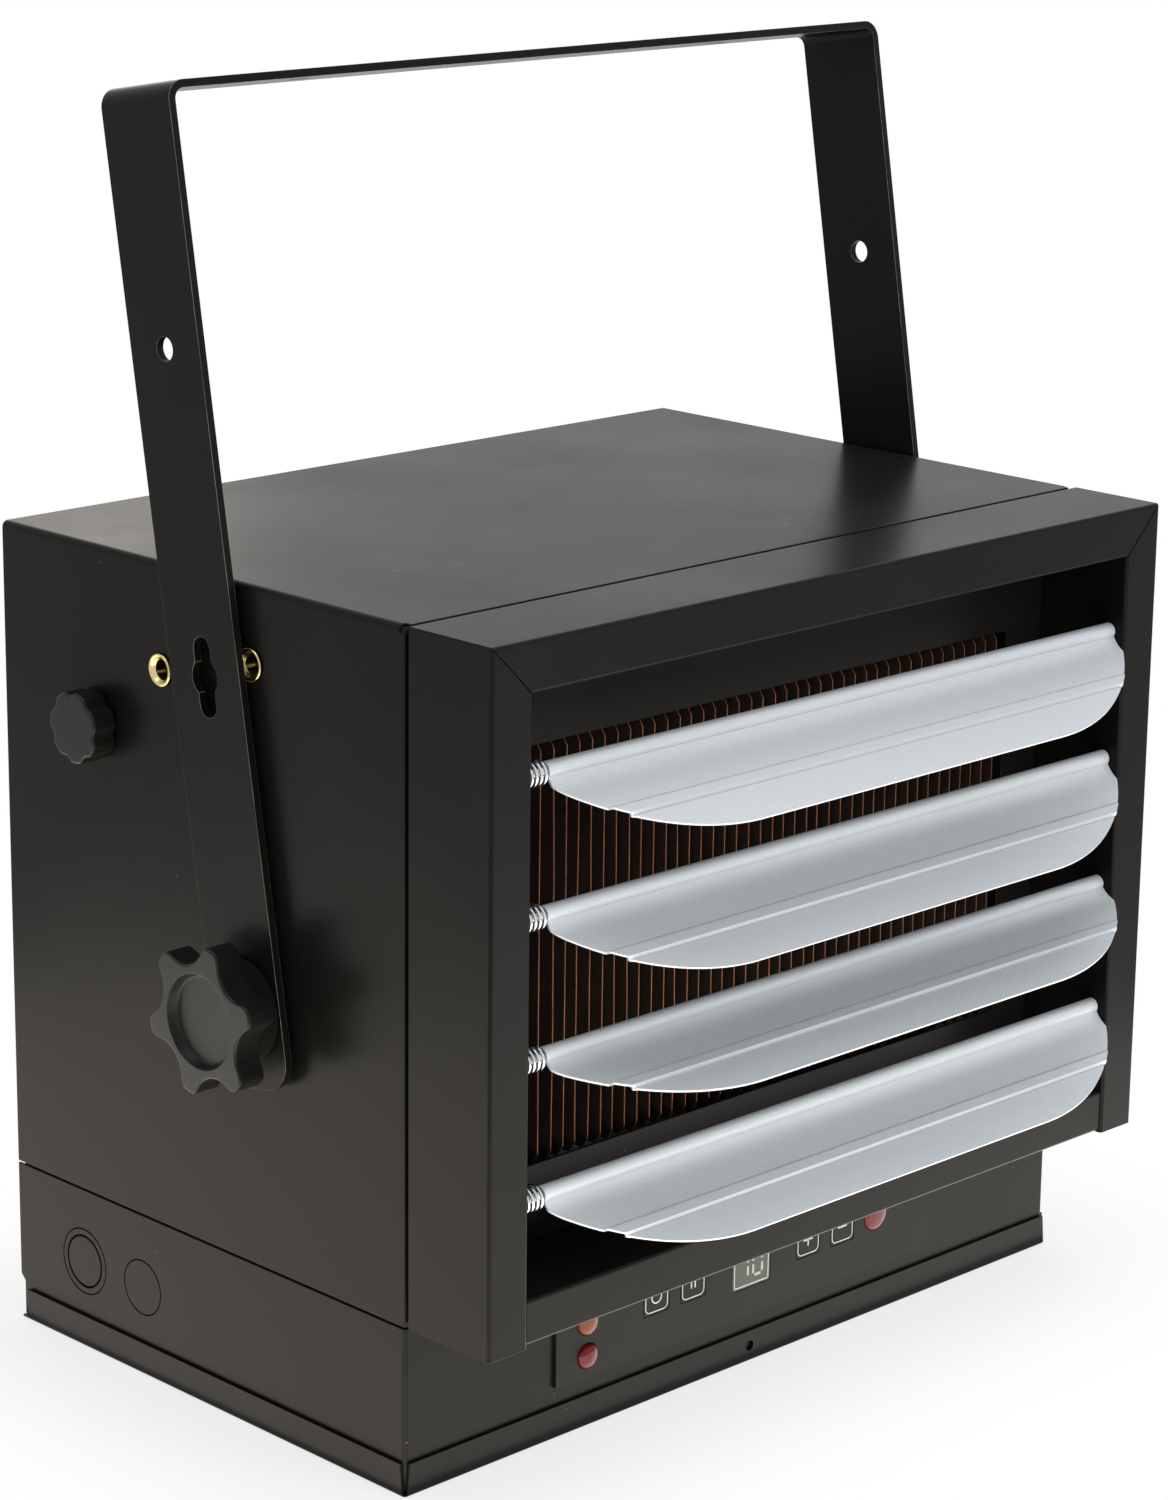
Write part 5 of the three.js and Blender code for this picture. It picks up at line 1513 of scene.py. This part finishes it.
KNOB_ANGLES = np.linspace(0, 2 * np.pi, 240, endpoint=False)
QUARTER_TURN = np.linspace(0, np.pi / 2, 7)
QUARTER = list(zip(np.cos(QUARTER_TURN), np.sin(QUARTER_TURN)))
CLAMP_LOBES = 6
LOCK_LOBES = 7


def lobed(lobes, valley, tip, width, phase):
    """A circle of the tip radius with round bites between the lobes, each down to the valley radius.

    A bite is a circle about a point outside the tip circle, chosen so that it meets the lobe's end. Its edge
    at an angle off its middle is c cos(off) - sqrt(b^2 - c^2 sin^2(off)), and the join is softened.
    """
    pitch = 2 * np.pi / lobes
    half = pitch / 2 - width / (2 * tip)
    centre = (tip ** 2 - valley ** 2) / (2 * (tip * math.cos(half) - valley))
    bite = centre - valley
    turns = (KNOB_ANGLES - phase) / pitch - 0.5
    off = (turns - np.round(turns)) * pitch
    inside = np.maximum(bite ** 2 - (centre * np.sin(off)) ** 2, 0)
    edge = np.where(np.abs(off) > half, tip, centre * np.cos(off) - np.sqrt(inside))
    kernel = np.hanning(9)[1:-1]
    wrap = 8
    padded = np.concatenate([edge[-wrap:], edge, edge[:wrap]])
    return np.convolve(padded, kernel / kernel.sum(), "same")[wrap:-wrap]


def knob_shape(levels, centre):
    """A knob that points to -X: each level is a ring of radii at one distance from the pivot's plane."""
    rings = np.zeros((len(levels), len(KNOB_ANGLES), 3))
    for k, (radii, x) in enumerate(levels):
        rings[k, :, 0] = x
        rings[k, :, 1] = centre.y + radii * np.cos(KNOB_ANGLES)
        rings[k, :, 2] = centre.z + radii * np.sin(KNOB_ANGLES)
    return skin(rings)


def edge_rings(outline, edge, x, ahead):
    """The rings of an outer edge rounded by a quarter circle, from its flank to its flat."""
    return [(outline - edge * (1 - c), x - ahead * edge * (1 - s)) for c, s in QUARTER]


def clamp_knob(sizes):
    """The left clamp knob: a boss behind, six lobes, and a round recess in its face."""
    face, seat = span("clamp_knob_left", "x")
    outline = lobed(CLAMP_LOBES, sizes.valley, sizes.tip, sizes.lobe, sizes.phase)
    back = -half_span("bracket_strap", "x") - sizes.boss_depth
    soft = sizes.rounding / 2
    floor = face + sizes.recess_depth
    return knob_shape([
        (sizes.boss - soft, seat), (sizes.boss, seat - soft), (sizes.boss, back + soft),
        (sizes.boss + soft, back),
        *edge_rings(outline, soft, back, 1)[::-1], *edge_rings(outline, sizes.rounding, face, -1),
        *((sizes.recess + soft * (1 - s), face + soft * (1 - c)) for c, s in QUARTER),
        (sizes.recess_floor + soft / 2, floor - soft), (sizes.recess_floor - soft / 2, floor - soft / 4),
        (sizes.recess_floor - 2 * soft, floor), (sizes.recess_floor / 3, floor),
    ], PIVOT)


def lock_knob(sizes):
    """The left lock knob: a threaded shank, and seven lobes with a nearly flat face."""
    face, inner = span("lock_knob_left", "x")
    outline = lobed(LOCK_LOBES, sizes.lock_valley, sizes.lock_tip, sizes.lock_lobe, sizes.lock_phase)
    back = span("rivet_nut_third_left", "x")[0] - 2 * GAP
    soft = sizes.rounding / 2
    crown, crown_height = 0.85, 0.00005  # the face rises a hair up to this share of its radius
    return knob_shape([
        (sizes.shank, inner), (sizes.shank, back), (outline - 2 * soft, back),
        *edge_rings(outline, soft, back, 1)[::-1], *edge_rings(outline, sizes.rounding, face, -1),
        (outline * crown, face - crown_height), (sizes.shank, face),
    ], LOCKS[2])


class HEATER_OT_knobs(Operator):
    """The six lobed clamp knobs at the pivots, and the small lock knobs parked in the last insert"""

    bl_idname = "heater.knobs"
    bl_label = "Knobs"

    def execute(self, context):
        sizes = context.scene.heater_knobs
        shapes = {"clamp": clamp_knob(sizes), "lock": lock_knob(sizes)}
        for hand, sign in HANDS.items():
            for name, left in shapes.items():
                shape = left if sign < 0 else mirrored(left)
                piece(f"{name}_{hand}_knob", shape, "Moulded nylon", f"{name}_{hand}",
                      f"{name}_knob_{hand}", edge=0)
        return {"FINISHED"}


# ---------------------------------------------------------------- rear side


class RearSizes(PropertyGroup):
    intake: metres("Intake radius", "Throat of the intake", 0.098)
    roll: metres("Intake roll", "Radius of the rolled lip", 0.004)
    wire: metres("Guard wire", "Diameter of the guard's wire", 0.0026)
    step: metres("Ring step", "Between two rings of the guard", 0.016)
    blades: IntProperty(name="Fan blades", description="Number of blades", default=5)
    pitch: degrees("Blade pitch", "Pitch of a fan blade", 28)
    camber: metres("Camber", "How far a fan blade bows", 0.003)


HEAD_HEIGHT = 0.55  # of a screw's head, as a share of its radius, and so are the next four
CROSS_HALF = 0.13
CROSS_SIDE = 0.06
CROSS_REACH = 0.6
CROSS_END = 0.12
CROSS_DEPTH = 0.32
DOME = 0.92  # how far the head's dome runs towards a half ball


def screw(x, z, y, radius):
    """A pan head with a cross recess, facing +Y.

    On a grid of radius and angle the height is a shallow dome, less a cross: its arms are the places less
    than their half width from the x or z axis and nearer the middle than their reach, with sloping sides.
    """
    share = np.concatenate([np.linspace(0, 0.92, 15), [0.97, 1.0, 1.0]])[:, None]
    angle = np.linspace(0, 2 * np.pi, 64, endpoint=False)[None, :]
    u, v = share * np.cos(angle), share * np.sin(angle)
    height = HEAD_HEIGHT * np.sqrt(np.maximum(1 - share ** 2 * DOME, 0)) * np.ones_like(angle)
    near = np.minimum(np.abs(u), np.abs(v))
    far = np.maximum(np.abs(u), np.abs(v))
    across = np.clip((CROSS_HALF - near) / CROSS_SIDE, 0, 1)
    ahead = np.clip((CROSS_REACH - far) / CROSS_END, 0, 1)
    height = height - CROSS_DEPTH * across * ahead
    height[-1] = 0
    points = np.stack([x + radius * u, y + radius * height, z + radius * v], axis=-1)
    return Shape(points.reshape(-1, 3), [grid_faces(*u.shape, wrap=True)]).away_from((x, y - 1, z))


def rear_sheet(sizes):
    """The rear panel, its intake's rolled lip and its screws."""
    low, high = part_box("rear_panel")
    turn = np.linspace(0, np.pi / 2, 8)
    mouth = sizes.intake + sizes.roll
    cut, around = 0.0016, 128  # the upper corners' bevels, and the points round the intake
    outline = np.array([
        (low.x, low.z), (high.x, low.z), (high.x, high.z - cut), (high.x - cut, high.z),
        (low.x + cut, high.z), (low.x, high.z - cut),
    ])
    rim = circle(0, FAN.z, mouth, around)
    sheet = plate(outline, [rim], lambda u, v: (u, BACK, v)).away_from((0, 0, FAN.z))
    profile = np.vstack([
        np.column_stack([mouth - sizes.roll * np.sin(turn), BACK - sizes.roll * (1 - np.cos(turn))]),
        [(sizes.intake, low.y)],
    ])
    throat = turned(profile, (0, 0, FAN.z), "y", around).away_from((0, low.y - 1, FAN.z))
    piece("rear_sheet", joined(sheet, throat), COAT, replaces="rear_panel", thickness=SHEET)
    inset, head = 0.007, 0.0036
    places = [(x, z) for x in (low.x + inset, 0, high.x - inset) for z in (low.z + inset, high.z - inset)]
    places += [(x, FAN.z) for x in (low.x + inset, high.x - inset)]
    screws = joined(*(screw(x, z, BACK, head) for x, z in places))
    piece("rear_screws", screws, "Bright zinc plate", edge=0)


def wire_guard(sizes):
    """The guard: rings one step apart, welded to four wires across the middle."""
    low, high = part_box("fan_guard")
    outer = high.z - FAN.z - sizes.wire / 2
    spoke_y = low.y + sizes.wire / 2
    ring_y = high.y - sizes.wire / 2
    t = np.linspace(0, 2 * np.pi, 96, endpoint=False)
    ring = np.column_stack([np.cos(t), np.zeros_like(t), np.sin(t)])
    wires = []
    for radius in np.arange(outer, sizes.step, -sizes.step):
        wires.append(tube(ring * radius + (0, ring_y, FAN.z), sizes.wire / 2, ring, 10, closed=True))
    crossbars = 4
    for k in range(crossbars):
        angle = math.pi * (k + 0.5) / crossbars
        across = np.array([[math.cos(angle), 0, math.sin(angle)]])
        spoke = np.linspace(-outer, outer, 25)[:, None] * across
        wires.append(tube(spoke + (0, spoke_y, FAN.z), sizes.wire / 2, (0, 1, 0), 10))
    piece("guard", joined(*wires), "Bright zinc plate", replaces="fan_guard", edge=0)


def fan_blades(sizes):
    """The blades: middle surfaces over u, from root to tip, and v, from the leading to the trailing edge.

    A place lies a along the blade and b across it. It is raised by 4 v (1 - v) times the camber, turned by
    the pitch, and then carried round the shaft.
    """
    clearance = 0.006  # the blades' tips come at least this near to the intake
    root, root_half = 0.017, 0.009  # radius and half width at which a blade leaves the hub
    leading_reach, trailing_reach = 0.034, 0.020
    root_bow = 0.4  # share of the camber with which a blade bows at its root
    tip = max(span("fan_blade", "z")[1] - FAN.z, sizes.intake - clearance)
    leading, trailing = math.asin(leading_reach / tip), math.asin(trailing_reach / tip)
    v = np.linspace(0, 1, 17)[None, :]
    u = np.linspace(0, 1, 21)[:, None]
    sweep = -leading + (leading + trailing) * v
    a = root + (tip * np.cos(sweep) - root) * u
    b = root_half * (2 * v - 1) * (1 - u) + tip * np.sin(sweep) * u
    bow = sizes.camber * 4 * v * (1 - v) * (root_bow + (1 - root_bow) * u)
    tilt = math.pi / 2 - sizes.pitch
    y = b * math.cos(tilt) - bow * math.sin(tilt)
    z = b * math.sin(tilt) + bow * math.cos(tilt)
    blades = []
    for k in range(sizes.blades):
        angle = 2 * math.pi * k / sizes.blades
        cosine, sine = math.cos(angle), math.sin(angle)
        points = np.stack([a * cosine + z * sine, FAN.y + y, FAN.z - a * sine + z * cosine], axis=-1)
        blades.append(Shape(points.reshape(-1, 3), [grid_faces(*a.shape)]))
    blade_sheet, blade_edge = 0.0016, 0.0004
    piece("fan_blades", joined(*blades), "Silver grey enamel", "fan", "fan_blade", thickness=blade_sheet,
          offset=0.0, edge=blade_edge)


def fan_hub():
    """The fan's hub, with a rounded shoulder and a bore for the shaft."""
    hub_half, hub, hub_soft, chamfer = 0.011, 0.02, 0.003, 0.001
    bore, bore_edge = 0.0072, 0.008
    hub_low, hub_high = FAN.y - hub_half, FAN.y + hub_half
    cap = np.linspace(0, np.pi / 2, 8)
    profile = np.vstack([
        [(0, hub_low), (hub - chamfer, hub_low), (hub, hub_low + chamfer)],
        np.column_stack([
            hub - hub_soft + hub_soft * np.cos(cap), hub_high - hub_soft + hub_soft * np.sin(cap),
        ]),
        [(bore_edge, hub_high), (bore, hub_high - chamfer), (0, hub_high - chamfer)],
    ])
    part = turned(profile, (0, 0, FAN.z), "y", 64).outward()
    piece("fan_hub", part, "Silver grey enamel", "fan", edge=0)


def motor_can():
    """The motor's ribbed can, spun about the shaft, with a collar and a bearing in front."""
    low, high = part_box("fan_motor")
    radius = (high.z - low.z) / 2
    shoulder = high.y - 0.007
    first_rib, last_rib, rib_step = 0.010, 0.008, 0.005
    groove, groove_start, groove_end, rib_end = 0.0012, 0.0006, 0.0016, 0.0022
    ribs = []
    for y in np.arange(low.y + first_rib, shoulder - last_rib, rib_step):
        ribs += [
            (radius, y), (radius - groove, y + groove_start), (radius - groove, y + groove_end),
            (radius, y + rib_end),
        ]
    soft = 0.004
    nearly = soft * 0.3
    collar, collar_top, bearing, bearing_depth, chamfer = 0.028, 0.0255, 0.0045, 0.002, 0.001
    profile = [
        (0, low.y), (radius - soft, low.y), (radius - nearly, low.y + nearly), (radius, low.y + soft),
        *ribs, (radius, shoulder - soft), (radius - nearly, shoulder - nearly), (radius - soft, shoulder),
        (collar, shoulder), (collar - chamfer, high.y - chamfer), (collar_top, high.y), (bearing, high.y),
        (bearing, high.y - bearing_depth), (0, high.y - bearing_depth),
    ]
    can = turned(profile, (0, 0, FAN.z), "y", 96).outward()
    piece("motor_can", can, "Rolled steel", replaces="fan_motor", edge=0)


class HEATER_OT_rear(Operator):
    """The rear panel with its rolled intake, the wire guard, the fan and its motor"""

    bl_idname = "heater.rear"
    bl_label = "Rear side"

    def execute(self, context):
        sizes = context.scene.heater_rear
        rear_sheet(sizes)
        wire_guard(sizes)
        fan_blades(sizes)
        fan_hub()
        motor_can()
        dress("motor_shaft", "Bright zinc plate")
        dress("motor_mount", COAT)
        for hand in HANDS:
            dress(f"element_bracket_{hand}", "Rolled steel")
        dress("limit_thermostat", "Moulded housing")
        return {"FINISHED"}


# ---------------------------------------------------------------- stage


class StageSizes(PropertyGroup):
    azimuth: degrees("Azimuth", "Where the camera looks from", -44.51)
    elevation: degrees("Elevation", "How high it looks from", 15.23)
    roll: degrees("Roll", "Turn about the line of sight", 0.68)
    camera: FloatVectorProperty(
        name="Camera", description="Where the camera stands", subtype="XYZ", unit="LENGTH", size=3,
        default=(-1.1025, -1.1407, 0.6571),
    )
    lens: FloatProperty(
        name="Focal length", description="In millimetres, on a frame 36 mm high", default=99.41,
    )
    key: FloatProperty(name="Key light", description="Power of the light overhead, in watts", default=11.0)
    fill: FloatProperty(name="Fill light", description="Power of the light in front, in watts", default=15.0)
    bounce: FloatProperty(name="Bounce", description="Power of the card at the left, in watts", default=2.1)
    front_bounce: FloatProperty(
        name="Front bounce", description="Power of the card in front, in watts", default=4.1,
    )
    rim: FloatProperty(name="Back light", description="Power of the light behind, in watts", default=2.4)
    surround: FloatProperty(name="Surround", description="Light of the room round the object", default=0.5)


def white_rays(tree, share=1.0):
    """How much of the white surround a ray sees.

    The camera's rays see a share of it, glossy and transmission rays all of it, and other rays nothing.
    """
    rays = add(tree, "ShaderNodeLightPath")
    direct = add(tree, "ShaderNodeMath", {0: rays.outputs["Is Camera Ray"], 1: share}, operation="MULTIPLY")
    shown = add(tree, "ShaderNodeMath", {
        0: direct.outputs["Value"], 1: rays.outputs["Is Glossy Ray"],
    }, operation="MAXIMUM")
    shown = add(tree, "ShaderNodeMath", {
        0: shown.outputs["Value"], 1: rays.outputs["Is Transmission Ray"],
    }, operation="MAXIMUM")
    return shown.outputs["Value"]


def area_light(name, place, aim, size, power, colour="#ffffff", shows=True):
    """A rectangular lamp at a place, turned to face a point, that the camera doesn't see.

    Where shows is off, reflections don't show it either.
    """
    lamp = bpy.data.lights.new(name, "AREA")
    lamp.shape = "RECTANGLE"
    lamp.size, lamp.size_y = size
    lamp.energy = power
    lamp.color = linear(colour)
    made = bpy.data.objects.new(name, lamp)
    made.location = place
    made.rotation_euler = (Vector(aim) - Vector(place)).to_track_quat("-Z", "Y").to_euler()
    made.visible_camera = False
    made.visible_glossy = shows
    bpy.context.scene.collection.objects.link(made)


def stand_camera(scene, sizes):
    """The camera: it looks along -back, turned about that line by its roll."""
    cosine = math.cos(sizes.elevation)
    back = Vector((
        math.sin(sizes.azimuth) * cosine, -math.cos(sizes.azimuth) * cosine, math.sin(sizes.elevation),
    ))
    right = Vector((0, 0, 1)).cross(back).normalized()
    up = back.cross(right)
    turned_right = math.cos(sizes.roll) * right + math.sin(sizes.roll) * up
    turned_up = math.cos(sizes.roll) * up - math.sin(sizes.roll) * right
    view = bpy.data.cameras.new("Camera")
    view.sensor_fit = "VERTICAL"
    view.sensor_height = 36
    view.lens = sizes.lens
    camera = bpy.data.objects.new("Camera", view)
    turn = Matrix((turned_right, turned_up, back)).transposed().to_4x4()
    camera.matrix_world = Matrix.Translation(sizes.camera) @ turn
    scene.collection.objects.link(camera)
    scene.camera = camera


def white_surround(scene, sizes):
    """A white world to the camera, and a dimmer one as light."""
    world = bpy.data.worlds.new("White surround")
    scene.world = world
    world.use_nodes = True
    tree = world.node_tree
    tree.nodes.clear()
    seen = add(tree, "ShaderNodeBackground", {"Color": (1, 1, 1, 1), "Strength": 1.0})
    room = add(tree, "ShaderNodeBackground", {"Color": (1, 1, 1, 1), "Strength": sizes.surround})
    mixed = add(tree, "ShaderNodeMixShader", {
        0: white_rays(tree), 1: room.outputs[0], 2: seen.outputs[0],
    })
    add(tree, "ShaderNodeOutputWorld", {"Surface": mixed.outputs[0]})


def lamps(sizes):
    """The softboxes, and the two cards that throw light up from the floor."""
    area_light("Overhead softbox", place=(0.05, 0.05, 1.5), aim=(0, 0, 0.2), size=(1.3, 1.3),
               power=sizes.key)
    area_light("Front fill", place=(0.2, -1.7, 0.95), aim=(0, 0, 0.2), size=(1.0, 1.0),
               power=sizes.fill, shows=False)
    area_light("Back softbox", place=(0.62, 1.7, 0.8), aim=(0, 0, 0.3), size=(1.0, 0.6),
               power=sizes.rim, colour="#fff6e4")
    area_light("Left bounce", place=(-0.394, 0.13, 0.0015), aim=(-0.394, 0.13, 1), size=(0.42, 0.66),
               power=sizes.bounce, colour="#fff3e2")
    area_light("Front bounce", place=(0, -0.435, 0.0015), aim=(0, -0.435, 1), size=(0.85, 0.63),
               power=sizes.front_bounce, colour="#fff9f0")


def studio_floor(scene):
    """A pale floor that keeps the object's shadow, and is as white as the surround farther off.

    The distance from the footprint is the length of max(|place| - half size, 0).
    """
    reach = 6.0  # the floor's half width
    fade, near_share = 0.12, 0.75  # the floor is all white this far away, and this much beside the object
    mesh = bpy.data.meshes.new("floor")
    corners = [(-reach, -reach, 0), (reach, -reach, 0), (reach, reach, 0), (-reach, reach, 0)]
    mesh.from_pydata(corners, [], [(0, 1, 2, 3)])
    floor = bpy.data.objects.new("floor", mesh)
    scene.collection.objects.link(floor)
    tree, shader, place = started("Pale studio floor", Roughness=0.9, Specular_IOR_Level=0.1)
    shader.inputs["Base Color"].default_value = rgba("#f4f4f2")
    folded_place = add(tree, "ShaderNodeVectorMath", {0: place}, operation="ABSOLUTE")
    beyond = add(tree, "ShaderNodeVectorMath", {
        0: folded_place.outputs["Vector"], 1: (SIDE, -SHELL_FRONT, 0),
    }, operation="SUBTRACT")
    outside = add(tree, "ShaderNodeVectorMath", {
        0: beyond.outputs["Vector"], 1: (0, 0, 0),
    }, operation="MAXIMUM")
    distance = add(tree, "ShaderNodeVectorMath", {0: outside.outputs["Vector"]}, operation="LENGTH")
    far = add(tree, "ShaderNodeMapRange", {
        "Value": distance.outputs["Value"], "From Min": 0.0, "From Max": fade, "To Min": near_share,
    }, interpolation_type="SMOOTHSTEP")
    blend = white_rays(tree, far.outputs["Result"])
    white = add(tree, "ShaderNodeEmission", {"Color": (1, 1, 1, 1), "Strength": 1.0})
    mixed = add(tree, "ShaderNodeMixShader", {0: blend, 1: shader.outputs[0], 2: white.outputs[0]})
    output = tree.nodes["Material Output"]
    tree.links.new(mixed.outputs[0], output.inputs["Surface"])
    mesh.materials.append(bpy.data.materials["Pale studio floor"])


class HEATER_OT_stage(Operator):
    """The camera, the soft lights, the pale floor and the white surround"""

    bl_idname = "heater.stage"
    bl_label = "Stage"

    def execute(self, context):
        sizes = context.scene.heater_stage
        stand_camera(context.scene, sizes)
        white_surround(context.scene, sizes)
        lamps(sizes)
        studio_floor(context.scene)
        context.scene.view_settings.view_transform = "Standard"
        return {"FINISHED"}


# ---------------------------------------------------------------- panel and start

GROUPS = {
    "heater_finishes": FinishColours,
    "heater_cabinet": CabinetSizes,
    "heater_frame": FrameSizes,
    "heater_louvres": LouvreSizes,
    "heater_element": ElementSizes,
    "heater_base": BaseSizes,
    "heater_controls": ControlSizes,
    "heater_strap": StrapSizes,
    "heater_knobs": KnobSizes,
    "heater_rear": RearSizes,
    "heater_stage": StageSizes,
}
OPERATORS = [
    HEATER_OT_finishes, HEATER_OT_cabinet, HEATER_OT_frame, HEATER_OT_louvres, HEATER_OT_element,
    HEATER_OT_base, HEATER_OT_controls, HEATER_OT_strap, HEATER_OT_knobs, HEATER_OT_rear, HEATER_OT_stage,
]


class HEATER_PT_panel(Panel):
    """The heater's pieces and their sizes"""

    bl_idname = "HEATER_PT_panel"
    bl_label = "Ceiling fan heater"
    bl_space_type = "VIEW_3D"
    bl_region_type = "UI"
    bl_category = "Heater"

    def draw(self, context):
        for group, operator in zip(GROUPS, OPERATORS):
            column = self.layout.column()
            column.operator(operator.bl_idname)
            for name in GROUPS[group].__annotations__:
                column.prop(getattr(context.scene, group), name)


def register():
    for group in GROUPS.values():
        bpy.utils.register_class(group)
    for name, group in GROUPS.items():
        setattr(bpy.types.Scene, name, PointerProperty(type=group))
    for operator in OPERATORS:
        bpy.utils.register_class(operator)
    bpy.utils.register_class(HEATER_PT_panel)


def unregister():
    bpy.utils.unregister_class(HEATER_PT_panel)
    for operator in reversed(OPERATORS):
        bpy.utils.unregister_class(operator)
    for name, group in reversed(GROUPS.items()):
        delattr(bpy.types.Scene, name)
        bpy.utils.unregister_class(group)


def main():
    register()
    for operator in OPERATORS:
        space, name = operator.bl_idname.split(".")
        getattr(getattr(bpy.ops, space), name)()


if __name__ == "__main__":
    main()
